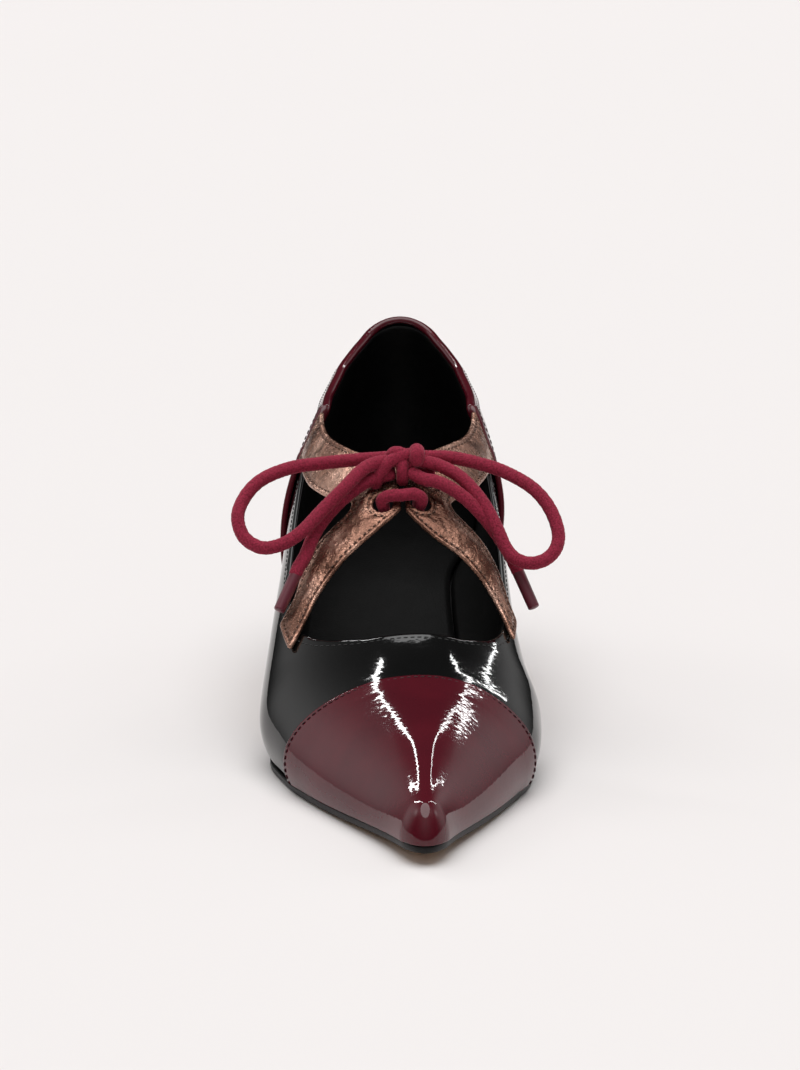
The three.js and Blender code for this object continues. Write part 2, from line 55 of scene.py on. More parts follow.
# %% The camera
VIEW_TARGET = Vector((0, -98.4, 61.5)) * MM
VIEW_DISTANCE = 1.6
VIEW_ELEVATION = math.radians(14)
VIEW_LENS = 185.7
camera = bpy.data.objects.new("camera", bpy.data.cameras.new("camera"))
scene.collection.objects.link(camera)
camera.data.lens = VIEW_LENS
backwards = Vector((0, -math.cos(VIEW_ELEVATION), math.sin(VIEW_ELEVATION)))
camera.location = VIEW_TARGET + VIEW_DISTANCE * backwards
camera.rotation_euler = (math.pi / 2 - VIEW_ELEVATION, 0, 0)
scene.camera = camera
scene.view_settings.view_transform = "Standard"
print(f"camera: {VIEW_DISTANCE} m away, {VIEW_LENS} mm lens")

# %% [markdown]
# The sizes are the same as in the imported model. Stations run from the heel's back, 0, to the toe
# tip, 1. The feather line is where the upper meets the sole.

# %% Sizes of the shoe, in millimetres
LAST_LENGTH = 245
BALL_WIDTH = 76
INSTEP_HEIGHT = 56
QUARTER_HEIGHT = 55
HEEL_HEIGHT = 44
TOE_SPRING = 3.6
SOLE = 2.2
SOLE_EDGE = 0.8
INSOLE = 1.6
WALL = 1.6
OVERLAY = 1.1
STRAP = 1.5
GAP = 0.3
TOP_PIECE = 4
TREAD_LENGTH = 34
TREAD_WIDTH = 36
TREAD_SETBACK = 24
HEEL_SEAT_LENGTH = 50
LACE = 4
EYELET = 5.4
SEAT = SOLE + GAP
EDGE = WALL + SOLE_EDGE
OVER = WALL + GAP


def table(columns, rows):
    """A table with named columns."""
    return {name: np.array(values, float) for name, values in zip(columns.split(), zip(*rows))}


FEATHER = table("at axis lateral medial", [
    (0, 0, 0.31, 0.31), (0.07, 0, 0.31, 0.31), (0.12, 0, 0.315, 0.31), (0.17, 0, 0.335, 0.3),
    (0.22, 0, 0.35, 0.27), (0.3, 0, 0.365, 0.2), (0.4, 0, 0.385, 0.215), (0.5, 0, 0.425, 0.3),
    (0.57, 0, 0.45, 0.4), (0.62, 0.005, 0.466, 0.46), (0.69, 0.03, 0.436, 0.434),
    (0.77, 0.045, 0.346, 0.344), (0.84, 0.062, 0.248, 0.248), (0.9, 0.076, 0.156, 0.156),
    (0.95, 0.083, 0.085, 0.085), (1, 0.09, 0.032, 0.032),
])
SIDES = table("at swell_lateral swell_medial rise brow_lateral brow_medial", [
    (0, 0.08, 0.08, 0.42, 0.58, 0.58), (0.03, 0.055, 0.055, 0.42, 0.1, 0.1),
    (0.07, 0.05, 0.05, 0.42, 0.07, 0.07), (0.12, 0.055, 0.06, 0.42, 0.2, 0.2),
    (0.17, 0.095, 0.14, 0.42, 0.3, 0.32), (0.22, 0.135, 0.24, 0.42, 0.45, 0.5),
    (0.3, 0.17, 0.38, 0.45, 0.72, 0.95), (0.4, 0.18, 0.4, 0.48, 0.76, 1.05),
    (0.5, 0.18, 0.3, 0.5, 0.74, 0.9), (0.57, 0.19, 0.21, 0.52, 0.7, 0.72),
    (0.62, 0.18, 0.17, 0.52, 0.66, 0.62), (0.69, 0.14, 0.14, 0.5, 0.62, 0.6),
    (0.77, 0.08, 0.08, 0.45, 0.5, 0.5), (0.84, 0.04, 0.04, 0.42, 0.45, 0.45),
    (0.9, 0.02, 0.02, 0.42, 0.42, 0.42), (1, 0, 0, 0.45, 0.55, 0.55),
])
RIDGE = table("at x height", [
    (0, 0, 1.38), (0.12, 0, 1.32), (0.17, 0, 1.25), (0.22, 0, 1.17), (0.3, 0, 1.03), (0.4, 0, 0.975),
    (0.5, 0.02, 0.91), (0.57, 0.05, 0.8), (0.62, 0.075, 0.68), (0.69, 0.085, 0.56), (0.77, 0.09, 0.465),
    (0.84, 0.09, 0.37), (0.9, 0.09, 0.27), (0.95, 0.09, 0.185), (1, 0.09, 0.11),
])
GROUND = table("at heel toe", [
    (0, 1, 0), (0.1, 0.95, 0), (0.2, 0.87, 0), (0.28, 0.75, 0), (0.36, 0.57, 0), (0.44, 0.36, 0),
    (0.51, 0.16, 0), (0.56, 0.04, 0), (0.6, 0, 0), (0.712, 0, 0), (0.8, 0, 0.16), (0.9, 0, 0.5),
    (1, 0, 1),
])
HEEL_ROUND, NOSE_ROUND = 0.12, 0.022
HEEL_FAN, HEEL_GATHER = 0.12, 0.4
NOSE_FAN, NOSE_GATHER = 0.96, 0.35
print(f"last: {LAST_LENGTH} mm long, {BALL_WIDTH} mm across the ball")

# %% [markdown]
# A table gives a few values along the shoe. The curve between them must not overshoot, so each
# slope is the harmonic mean of its neighbours. Patent leather mirrors every kink, so the curve is
# then smoothed a little, with both ends held.

# %% Curves from the tables


def value(rows, column, at):
    """One column of a table at any station, without overshoot."""
    x, y = rows["at"], rows[column]
    grade = np.diff(y) / np.diff(x)
    before, after = grade[:-1], grade[1:]
    both = np.where(before + after == 0, 1, before + after)
    inner = np.where(before * after > 0, 2 * before * after / both, 0)
    slope = np.concatenate([grade[:1], inner, grade[-1:]])
    at = np.clip(at, x[0], x[-1])
    i = np.clip(np.searchsorted(x, at, side="right") - 1, 0, len(x) - 2)
    span = x[i + 1] - x[i]
    t = (at - x[i]) / span
    ease = t * t * (3 - 2 * t)
    lean = (1 - t) * slope[i] - t * slope[i + 1]
    return y[i] * (1 - ease) + y[i + 1] * ease + span * t * (1 - t) * lean


SMOOTH_OVER = 0.012
SMOOTH_REACH = 40
STATIONS = np.linspace(0, 1, 1001)


def smoothed(rows, column):
    """The same column as a fine, smoothed curve over the whole shoe."""
    fine = value(rows, column, STATIONS)
    kernel = np.exp(-0.5 * (np.arange(-SMOOTH_REACH, SMOOTH_REACH + 1) / (SMOOTH_OVER * 1000)) ** 2)
    before = 2 * fine[0] - fine[SMOOTH_REACH:0:-1]
    after = 2 * fine[-1] - fine[-2:-SMOOTH_REACH - 2:-1]
    return np.convolve(np.concatenate([before, fine, after]), kernel / kernel.sum(), "valid")


CURVES = {
    name: smoothed(rows, name)
    for rows in (FEATHER, SIDES, RIDGE, GROUND)
    for name in rows if name != "at"
}


def curve(name, at):
    return np.interp(at, STATIONS, CURVES[name])


def along(at):
    return TREAD_SETBACK - at * LAST_LENGTH


def ground(at):
    return HEEL_HEIGHT * curve("heel", at) + TOE_SPRING * curve("toe", at)


print("curves:", ", ".join(CURVES))


# %% [markdown]
# The last is a fan of ribs, one after another round the shoe. Each rib is a curve from the
# feather line up to the ridge along the top of the foot. A turn of 0 is the heel's back, pi is
# the toe tip, and its sign is the side: minus for the little toe's side, plus for the big toe's.

# %% The last
NUDGE = 0.004


def vector(x, y, z):
    return np.stack(np.broadcast_arrays(x, y, z), axis=-1).astype(float)


def rib(turn):
    """The four control points of each rib."""
    at = 0.5 - 0.5 * np.cos(turn)
    side = np.where(np.sin(turn) < 0, -1, 1)

    def pick(name):
        return np.where(side < 0, curve(name + "lateral", at), curve(name + "medial", at))

    heel = np.clip(1 - at / HEEL_ROUND, 0, 1)
    nose = np.clip((at - 1 + NOSE_ROUND) / NOSE_ROUND, 0, 1)
    half = side * pick("") * np.sqrt(1 - heel ** 2) * np.sqrt(1 - nose ** 2)
    top = np.where(at < HEEL_FAN, HEEL_FAN + (at - HEEL_FAN) * HEEL_GATHER, at)
    top = np.where(at > NOSE_FAN, NOSE_FAN + (at - NOSE_FAN) * NOSE_GATHER, top)
    foot = vector((curve("axis", at) + half) * BALL_WIDTH, along(at), ground(at) + SEAT)
    ridge = vector(
        curve("x", top) * BALL_WIDTH,
        along(top),
        ground(top) + SEAT + curve("height", top) * INSTEP_HEIGHT,
    )
    reach = foot - ridge
    reach[..., 2] = 0
    outward = reach / np.linalg.norm(reach, axis=-1, keepdims=True)
    swell = foot + outward * (pick("swell_") * BALL_WIDTH)[..., None]
    swell[..., 2] += curve("rise", at) * (ridge - foot)[..., 2]
    brow = ridge + reach * pick("brow_")[..., None]
    return foot, swell, brow, ridge


def climb(points, share):
    """The point at a share of the way up each rib."""
    s = np.asarray(share, float)[..., None]
    a, b, c, d = points
    return a * (1 - s) ** 3 + b * 3 * s * (1 - s) ** 2 + c * 3 * s * s * (1 - s) + d * s ** 3


FOOT_BAND = 0.07


def last(turn, share):
    """Points of the last, and the directions straight out of it."""
    turn, share = np.broadcast_arrays(np.asarray(turn, float), np.asarray(share, float))
    here = rib(turn)
    up = climb(here, np.minimum(1, share + NUDGE)) - climb(here, np.maximum(0, share - NUDGE))
    below = np.minimum(share, 1 - NUDGE)
    ahead = climb(rib(turn + NUDGE), below) - climb(rib(turn - NUDGE), below)
    out = np.cross(up, ahead)
    out[..., 2] *= np.clip(share / FOOT_BAND, 0, 1)
    return climb(here, share), out / np.linalg.norm(out, axis=-1, keepdims=True)


def turn_of(at, side):
    return side * np.arccos(1 - 2 * np.asarray(at, float))


def girth_table(turn, steps=160):
    """How far along each rib every share is."""
    share = np.linspace(0, 1, steps + 1)
    points = climb(tuple(p[..., None, :] for p in rib(turn)), share)
    length = np.linalg.norm(np.diff(points, axis=-2), axis=-1).cumsum(axis=-1)
    return share, np.concatenate([np.zeros(length.shape[:-1] + (1,)), length], axis=-1)


def place(at, down, side, out=0.0):
    """One point by station, side and how far down its rib from the ridge."""
    turn = turn_of(at, side)
    share, length = girth_table(turn)
    s = np.interp((1 - down) * length[-1], length, share)
    point, outward = last(turn, s)
    return point + outward * out


print("toe tip at", last(math.pi, 0)[0].round(1).tolist(), "mm")


# %% [markdown]
# Leather is cut from sheets. Here a sheet is a fine grid on the last. A keep value at each point
# says how far inside the cut outline it lies, and faces that cross zero are cut there, so an edge
# is smooth although the grid is not. The outer and the inner side get the same cuts, and a round
# rim joins them, as on a folded edge.

# %% Sheets cut to an outline


def distance(points, outline):
    """Signed distance of 2-D points from a closed outline, positive inside it."""
    a = np.asarray(outline, float)
    b = np.roll(a, -1, axis=0)
    edge = b - a
    to = points[..., None, :] - a
    t = np.clip((to * edge).sum(-1) / (edge ** 2).sum(-1), 0, 1)
    away = np.linalg.norm(to - t[..., None] * edge, axis=-1).min(-1)
    x, y = points[..., None, 0], points[..., None, 1]
    rise = np.where(edge[:, 1] == 0, 1, edge[:, 1])
    crosses = ((a[:, 1] > y) != (b[:, 1] > y)) & (x < a[:, 0] + (y - a[:, 1]) * edge[:, 0] / rise)
    return np.where(crosses.sum(-1) % 2 == 1, away, -away)


def grid_faces(rows, columns, closed):
    """The faces of a grid, row after row. A closed grid joins its last row to its first."""
    index = np.arange(rows * columns).reshape(rows, columns)
    after = np.roll(index, -1, axis=0)
    if not closed:
        index, after = index[:-1], after[:-1]
    return np.stack([index[:, :-1], index[:, 1:], after[:, 1:], after[:, :-1]], axis=-1).reshape(-1, 4)


def cut(faces, keep):
    """Cuts the faces along keep = 0. Gives the faces, and the pairs of points between which the
    new points lie."""
    inside = keep[faces] > 0
    count = inside.sum(axis=1)
    made = [list(f) for f in faces[count == 4]]
    new = {}
    for face in faces[(count > 0) & (count < 4)]:
        loop = []
        for a, b in zip(face, np.roll(face, -1)):
            if keep[a] > 0:
                loop.append(int(a))
            if (keep[a] > 0) != (keep[b] > 0):
                key = (int(min(a, b)), int(max(a, b)))
                loop.append(new.setdefault(key, len(keep) + len(new)))
        made.append(loop)
    return made, list(new)


def with_cuts(values, pairs, keep):
    """Values at the old points, followed by those at the new ones."""
    if not pairs:
        return values
    a, b = np.array(pairs).T
    t = (keep[a] / (keep[a] - keep[b])).reshape((-1,) + (1,) * (values.ndim - 1))
    return np.concatenate([values, values[a] * (1 - t) + values[b] * t])


RIM_STEPS = 5


def shell(points, outward, faces, keep, inner, outer, flat_edge=0):
    """A closed wall between two distances from the last, with a rolled rim. Both distances may
    differ from point to point. flat_edge marks the points where the rim stays flat."""
    made, pairs = cut(faces, keep)
    middle = with_cuts(points, pairs, keep)
    out = with_cuts(outward, pairs, keep)
    outer = with_cuts(np.zeros(len(keep)) + outer, pairs, keep)
    inner = with_cuts(np.zeros(len(keep)) + inner, pairs, keep)
    flat = with_cuts(np.zeros(len(keep)) + flat_edge, pairs, keep)
    used = np.unique(np.concatenate([np.array(f) for f in made]))
    number = np.full(len(middle), -1)
    number[used] = np.arange(len(used))
    middle, out, flat = middle[used], out[used], flat[used]
    outer, inner = outer[used, None], inner[used, None]
    made = [[int(number[i]) for i in f] for f in made]
    made = [[v for k, v in enumerate(f) if v != f[k - 1]] for f in made]
    made = [f for f in made if len(f) > 2]
    n = len(middle)
    edges = {}
    for f in made:
        for a, b in zip(f, f[1:] + f[:1]):
            edges[(a, b)] = True
    border = [(a, b) for a, b in edges if (b, a) not in edges]
    away = np.zeros((n, 3))
    for a, b in border:
        side = np.cross(middle[b] - middle[a], out[a] + out[b])
        away[a] += side
        away[b] += side
    rim = sorted({v for edge in border for v in edge})
    slot = {v: k for k, v in enumerate(rim)}
    away = away[rim]
    away /= np.maximum(np.linalg.norm(away, axis=1, keepdims=True), 1e-9)
    sheets = [middle + out * outer, middle + out * inner]
    half = (outer[rim] - inner[rim]) / 2
    for k in range(1, RIM_STEPS):
        angle = math.pi * k / RIM_STEPS
        roll = half * math.sin(angle) * (1 - flat[rim])[:, None]
        centre = middle[rim] + out[rim] * (inner[rim] + half * (1 + math.cos(angle)))
        sheets.append(centre + away * roll)

    def row(k, v):
        if k == 0:
            return v
        if k == RIM_STEPS:
            return n + v
        return 2 * n + (k - 1) * len(rim) + slot[v]

    everything = made + [[n + v for v in reversed(f)] for f in made]
    for a, b in border:
        for k in range(RIM_STEPS):
            everything.append([row(k, b), row(k, a), row(k + 1, a), row(k + 1, b)])
    return np.concatenate(sheets), everything


def contour(points, outward, faces, keep):
    """The lines along which keep is zero, as lists of points with the directions out."""
    links = {}
    _, pairs = cut(faces, keep)
    where = {key: i for i, key in enumerate(pairs)}
    position = with_cuts(points, pairs, keep)[len(keep):]
    direction = with_cuts(outward, pairs, keep)[len(keep):]
    for face in faces:
        ends = [
            where[(int(min(a, b)), int(max(a, b)))]
            for a, b in zip(face, np.roll(face, -1)) if (keep[a] > 0) != (keep[b] > 0)
        ]
        if len(ends) == 2:
            links.setdefault(ends[0], []).append(ends[1])
            links.setdefault(ends[1], []).append(ends[0])
    lines = []
    left = set(links)
    while left:
        start = next((i for i in sorted(left) if len(links[i]) == 1), min(left))
        chain = [start]
        left.discard(start)
        while True:
            onward = [j for j in links[chain[-1]] if j in left]
            if not onward:
                break
            chain.append(onward[0])
            left.discard(onward[0])
        if start in links[chain[-1]] and len(chain) > 2:
            chain.append(start)
        lines.append((position[chain], direction[chain]))
    return lines


# %% [markdown]
# A finished mesh goes into the scene at the origin, with its place in its points. Each piece
# rides on the one body, and the imported solid it stands for is hidden.

# %% Putting a piece into the scene


def put(name, points, faces, materials, slot, *nodes, face_material=None):
    """Makes a smooth mesh piece from points in millimetres."""
    mesh = bpy.data.meshes.new(name)
    mesh.from_pydata((np.asarray(points) * MM).tolist(), [], [list(map(int, f)) for f in faces])
    mesh.validate()
    mesh.shade_smooth()
    obj = bpy.data.objects.new(name, mesh)
    scene.collection.objects.link(obj)
    for material in materials:
        mesh.materials.append(material)
    if face_material is not None:
        mesh.polygons.foreach_set("material_index", face_material)
    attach(obj, "root")
    if nodes:
        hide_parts(*nodes)
    print(f"{name}: {len(mesh.polygons)} faces")
    return obj


# %% [markdown]
# Patent leather is a dyed skin under a thick clear coat. The dye is soft and dark, and the coat
# is what mirrors the lights, so each has its own roughness. The coat's surface has a slow
# swell and a fine crinkle, which break up the edge of every reflection.

# %% Materials: helpers


def new_material(name):
    material = bpy.data.materials.new(name)
    material.use_nodes = True
    nodes, links = material.node_tree.nodes, material.node_tree.links
    shader = nodes["Principled BSDF"]
    place_node = nodes.new("ShaderNodeTexCoord")
    return material, nodes, links, shader, place_node.outputs["Object"]


def noise(nodes, links, coordinates, size, detail=3.0):
    """A noise whose features are about size metres across."""
    node = nodes.new("ShaderNodeTexNoise")
    node.inputs["Scale"].default_value = 1 / size
    node.inputs["Detail"].default_value = detail
    links.new(coordinates, node.inputs["Vector"])
    return node.outputs["Fac"]


def ramp(nodes, links, factor, stops):
    node = nodes.new("ShaderNodeValToRGB")
    while len(node.color_ramp.elements) < len(stops):
        node.color_ramp.elements.new(0.5)
    for element, (at, colour) in zip(node.color_ramp.elements, stops):
        element.position = at
        element.color = (*colour, 1)
    links.new(factor, node.inputs["Fac"])
    return node.outputs["Color"]


def between(nodes, links, factor, low, high, start=0.0, end=1.0):
    """A factor from start to end, turned into a number from low to high."""
    node = nodes.new("ShaderNodeMapRange")
    for name, amount in (("From Min", start), ("From Max", end), ("To Min", low), ("To Max", high)):
        node.inputs[name].default_value = amount
    links.new(factor, node.inputs["Value"])
    return node.outputs["Result"]


def reckon(nodes, links, operation, *values):
    """One step of arithmetic. Each value is a number or another node's output."""
    node = nodes.new("ShaderNodeMath")
    node.operation = operation
    for socket, given in zip(node.inputs, values):
        if isinstance(given, (int, float)):
            socket.default_value = given
        else:
            links.new(given, socket)
    return node.outputs["Value"]


def measured(nodes, links, operation, coordinates, other):
    """A number from two vectors, the second of which is fixed."""
    node = nodes.new("ShaderNodeVectorMath")
    node.operation = operation
    node.inputs[1].default_value = other
    links.new(coordinates, node.inputs[0])
    return node.outputs["Value"]


def bumps(nodes, links, heights):
    """Several heights, one on top of the other. Each is a factor with its depth in metres."""
    normal = None
    for height, depth in heights:
        node = nodes.new("ShaderNodeBump")
        node.inputs["Distance"].default_value = depth
        links.new(height, node.inputs["Height"])
        if normal:
            links.new(normal, node.inputs["Normal"])
        normal = node.outputs["Normal"]
    return normal


# %% Patent leather
DYE_PATCH, SWELL, CRINKLE = 0.02, 0.014, 0.0016


def patent(name, dark, light, swell, crinkle):
    """Dyed leather under a clear coat. Swell and crinkle are depths in metres."""
    material, nodes, links, shader, here = new_material(name)
    tone = ramp(nodes, links, noise(nodes, links, here, DYE_PATCH), [(0.35, dark), (0.7, light)])
    links.new(tone, shader.inputs["Base Color"])
    shader.inputs["Roughness"].default_value = 0.6
    shader.inputs["Specular IOR Level"].default_value = 0.0
    shader.inputs["Coat Weight"].default_value = 1.0
    shader.inputs["Coat Roughness"].default_value = 0.05
    shader.inputs["Coat IOR"].default_value = 1.45
    normal = bumps(nodes, links, [
        (noise(nodes, links, here, SWELL, 2), swell),
        (noise(nodes, links, here, CRINKLE, 1), crinkle),
    ])
    links.new(normal, shader.inputs["Coat Normal"])
    links.new(normal, shader.inputs["Normal"])
    return material


patent_black = patent("patent_black", (0.0025, 0.0026, 0.0026), (0.004, 0.0042, 0.0042), 0.00007, 0.000016)
patent_burgundy = patent("patent_burgundy", (0.072, 0.0055, 0.0115), (0.094, 0.007, 0.0142), 0.00004, 0.00002)
print("patent leather: black and burgundy")

# %% [markdown]
# Lining, insole, sole, thread and tips are plain: one colour that varies a little, one gloss and
# a fine grain. One helper makes them all, so that only their differences are written down.

# %% Plain materials


def plain(name, colours, roughness, depth, grain=0.0006, **sockets):
    """A dull or slightly glossy surface with a fine grain."""
    material, nodes, links, shader, here = new_material(name)
    grains = noise(nodes, links, here, grain, 4)
    tone = ramp(nodes, links, noise(nodes, links, here, 0.008), [(0.3, colours[0]), (0.7, colours[1])])
    links.new(tone, shader.inputs["Base Color"])
    shader.inputs["Roughness"].default_value = roughness
    for socket, amount in sockets.items():
        shader.inputs[socket.replace("_", " ")].default_value = amount
    links.new(bumps(nodes, links, [(grains, depth)]), shader.inputs["Normal"])
    return material


def grey(amount):
    return (amount, amount, amount)


THREAD_GRAIN = 0.0003
lining = plain("lining_black", [grey(0.004), grey(0.007)], 0.5, 0.00006, Specular_IOR_Level=0.2)
insole_sock = plain("insole_black", [grey(0.003), grey(0.005)], 0.4, 0.00008, Specular_IOR_Level=0.05)
sole_edge = plain(
    "sole_edge_black", [grey(0.004), (0.008, 0.007, 0.007)], 0.4, 0.00003, Specular_IOR_Level=0.25,
)
sole_under = plain("sole_underside_tan", [(0.42, 0.27, 0.16), (0.5, 0.34, 0.21)], 0.45, 0.00004)
top_rubber = plain("top_piece_rubber", [grey(0.012), grey(0.02)], 0.6, 0.00008)
thread_black, thread_burgundy, thread_bronze = (
    plain(name, colours, 0.6, 0.00002, THREAD_GRAIN)
    for name, colours in (
        ("thread_black", [grey(0.01), grey(0.02)]),
        ("thread_burgundy", [(0.02, 0.002, 0.004), (0.035, 0.003, 0.007)]),
        ("thread_bronze", [(0.08, 0.04, 0.028), (0.15, 0.08, 0.055)]),
    )
)
aglet_plastic = plain(
    "aglet_plastic", [(0.1, 0.012, 0.024), (0.14, 0.018, 0.034)], 0.4, 0.00002, Coat_Weight=0.3,
)
print("materials so far:", len(bpy.data.materials))

# %% [markdown]
# The straps are leather under a thin metal foil. Its colour is painted darker round the knot and
# paler out along the arms, a painted sheen in place of the highlights there. It has crackled into
# tiny cells, which break up its shine, and soft dents in it catch the light.

# %% The straps' leather
# The point near the knot where the painted sheen on the straps is darkest.
PAINTED_SHEEN_FROM = Vector((4, -88, 72))
WORN_PATCH = 0.012
CRACKS_PER_METRE = 1100


def metallic_leather():
    """Leather under a thin metal foil that has crackled where it bends."""
    material, nodes, links, shader, here = new_material("metallic_bronze")
    # Painted light: the foil is painted darker round the knot and paler out along the arms, as painted sheen.
    away_from_knot = measured(nodes, links, "DISTANCE", here, PAINTED_SHEEN_FROM * MM)
    painted_sheen = between(nodes, links, away_from_knot, -0.1, 0.05, 0.012, 0.03)
    tone = reckon(nodes, links, "ADD", noise(nodes, links, here, WORN_PATCH, 6), painted_sheen)
    colour = ramp(nodes, links, tone, [
        (0.34, (0.15, 0.07, 0.047)), (0.5, (0.3, 0.155, 0.108)), (0.66, (0.56, 0.34, 0.26)),
    ])
    links.new(colour, shader.inputs["Base Color"])
    shader.inputs["Metallic"].default_value = 0.85
    gloss = between(nodes, links, noise(nodes, links, here, 0.002, 5), 0.15, 0.4)
    links.new(gloss, shader.inputs["Roughness"])
    cells = nodes.new("ShaderNodeTexVoronoi")
    cells.feature = "DISTANCE_TO_EDGE"
    cells.inputs["Scale"].default_value = CRACKS_PER_METRE
    links.new(here, cells.inputs["Vector"])
    links.new(bumps(nodes, links, [
        (noise(nodes, links, here, 0.007, 3), 0.0016),
        (between(nodes, links, cells.outputs["Distance"], 0.0, 1.0, 0.0, 0.15), 0.00004),
        (noise(nodes, links, here, 0.0012, 3), 0.00014),
    ]), shader.inputs["Normal"])
    return material


metallic_bronze = metallic_leather()
print("straps:", metallic_bronze.name)

# %% [markdown]
# Cotton is matt. Loose fibres at its edges catch the light, which is what sheen stands for, and
# its colour is painted darker where the fibres sink, as painted shade in the grooves.

# %% Cotton for the lace


def cotton(name, dark, light):
    """Braided cotton: matt, a little fuzzy at its edges, with painted shade in its grooves."""
    material, nodes, links, shader, here = new_material(name)
    fibres = noise(nodes, links, here, 0.0005, 4)
    # Painted shade: the noise that raises the fibres also darkens the colour where they sink.
    links.new(ramp(nodes, links, fibres, [(0.3, dark), (0.7, light)]), shader.inputs["Base Color"])
    shader.inputs["Roughness"].default_value = 0.85
    shader.inputs["Specular IOR Level"].default_value = 0.25
    shader.inputs["Sheen Weight"].default_value = 0.25
    shader.inputs["Sheen Roughness"].default_value = 0.4
    shader.inputs["Sheen Tint"].default_value = (0.9, 0.45, 0.5, 1)
    links.new(bumps(nodes, links, [(fibres, 0.0002)]), shader.inputs["Normal"])
    return material


lace_cotton = cotton("lace_cotton", (0.16, 0.0095, 0.024), (0.4, 0.028, 0.068))
print("lace:", lace_cotton.name)

# %% [markdown]
# A lace is a soft round braid. It follows a smooth curve through a few points, and its section is
# carried along without twisting. The braid shows as two sets of strands that run round it in
# opposite directions, so its radius rises and falls a little in that pattern.

# %% Round cords


def through(points, spacing):
    """A smooth curve through the points, at an even spacing."""
    p = np.array(points, float)
    p = np.concatenate([[2 * p[0] - p[1]], p, [2 * p[-1] - p[-2]]])
    fine = []
    for a, b, c, d in zip(p[:-3], p[1:-2], p[2:-1], p[3:]):
        t0 = 0
        t1 = t0 + np.linalg.norm(b - a) ** 0.5
        t2 = t1 + np.linalg.norm(c - b) ** 0.5
        t3 = t2 + np.linalg.norm(d - c) ** 0.5
        t = np.linspace(t1, t2, 24, endpoint=False)[:, None]
        ab = (t1 - t) / (t1 - t0) * a + (t - t0) / (t1 - t0) * b
        bc = (t2 - t) / (t2 - t1) * b + (t - t1) / (t2 - t1) * c
        cd = (t3 - t) / (t3 - t2) * c + (t - t2) / (t3 - t2) * d
        abc = (t2 - t) / (t2 - t0) * ab + (t - t0) / (t2 - t0) * bc
        bcd = (t3 - t) / (t3 - t1) * bc + (t - t1) / (t3 - t1) * cd
        fine.append((t2 - t) / (t2 - t1) * abc + (t - t1) / (t2 - t1) * bcd)
    fine = np.concatenate(fine + [p[-2:-1]])
    length = np.concatenate([[0], np.linalg.norm(np.diff(fine, axis=0), axis=1).cumsum()])
    steps = max(2, round(length[-1] / spacing))
    even = np.linspace(0, length[-1], steps + 1)
    return np.stack([np.interp(even, length, fine[:, k]) for k in range(3)], axis=1), length[-1]


def tube(path, radii, sides):
    """A closed tube along a path. radii has one row for each point, and one column a side."""
    ahead = np.gradient(path, axis=0)
    ahead /= np.linalg.norm(ahead, axis=1, keepdims=True)
    across = np.cross(ahead[0], [0.1, 0.2, 1])
    rings = []
    angle = 2 * np.pi * np.arange(sides) / sides
    for i, point in enumerate(path):
        across = across - ahead[i] * np.dot(across, ahead[i])
        across /= np.linalg.norm(across)
        above = np.cross(ahead[i], across)
        ring = np.cos(angle)[:, None] * across + np.sin(angle)[:, None] * above
        rings.append(point + ring * radii[i][:, None])
    n = len(path)
    points = np.concatenate(rings + [path[:1], path[-1:]])
    faces = []
    for i in range(n - 1):
        for k in range(sides):
            j = (k + 1) % sides
            faces.append([i * sides + k, i * sides + j, (i + 1) * sides + j, (i + 1) * sides + k])
    for k in range(sides):
        j = (k + 1) % sides
        faces.append([n * sides, j, k])
        faces.append([n * sides + 1, (n - 1) * sides + k, (n - 1) * sides + j])
    return points, faces


BRAID_PITCH = 4.2
BRAID_STRANDS = 6
BRAID_DEPTH = 0.07
CORD_SIDES = 24
CORD_SPACING = 0.4
ROUND_END = 0.4


def braid(points, diameter=LACE):
    """A braided lace through the points, with rounded ends."""
    path, length = through(points, CORD_SPACING)
    step = length / (len(path) - 1)
    go = np.arange(len(path))[:, None] * step
    angle = 2 * np.pi * np.arange(CORD_SIDES)[None, :] / CORD_SIDES
    wind = 2 * np.pi * go / BRAID_PITCH
    strands = np.maximum(
        np.cos(BRAID_STRANDS / 2 * angle + wind * 1.5),
        np.cos(BRAID_STRANDS / 2 * angle - wind * 1.5),
    )
    radii = diameter / 2 * (1 - BRAID_DEPTH + BRAID_DEPTH * np.abs(strands))
    for distance_to_end in (go, length - go):
        inside = np.clip(1 - distance_to_end / (ROUND_END * diameter), 0, 1)
        radii = radii * np.sqrt(1 - 0.98 * inside ** 2)
    made, faces = tube(path, radii, CORD_SIDES)
    return made, faces, path, length


# %% [markdown]
# The bow. Each loop leaves the knot, swings out and comes back to it. Each end hangs down to its
# tip. Every route is a list of points in millimetres, read off the shoe as it stands.

# %% The bow's routes
LOOPS = {
    "lateral": [
        (-6.2, -82.5, 80.6), (-12, -83.3, 80.4), (-22.5, -84, 79.5), (-32.5, -86.5, 78.5), (-41, -90.5, 75.5),
        (-45.5, -94.5, 71), (-47, -98.5, 66.5), (-45, -101.5, 61.5), (-40, -103.5, 59), (-34.5, -104, 60),
        (-29, -102.5, 63), (-22.5, -98, 68.8), (-16, -94.7, 74.8), (-11, -90.5, 79), (-7.4, -87.6, 80.3),
    ],
    "medial": [
        (8.5, -82.5, 81), (14.5, -83, 81), (24.5, -84, 79), (31, -85.5, 77), (39, -89.5, 73),
        (43.8, -93.2, 67.6), (46, -97.4, 61), (44.9, -99.9, 57.3), (42, -101.5, 54.9), (38, -102.1, 54),
        (34, -101.5, 54.9), (31.1, -99.9, 57.3), (28.1, -97.1, 63.2), (24.5, -93.8, 69.4), (18.5, -89.4, 75.8),
        (14, -87.4, 78.4), (10, -86.2, 79.8),
    ],
}
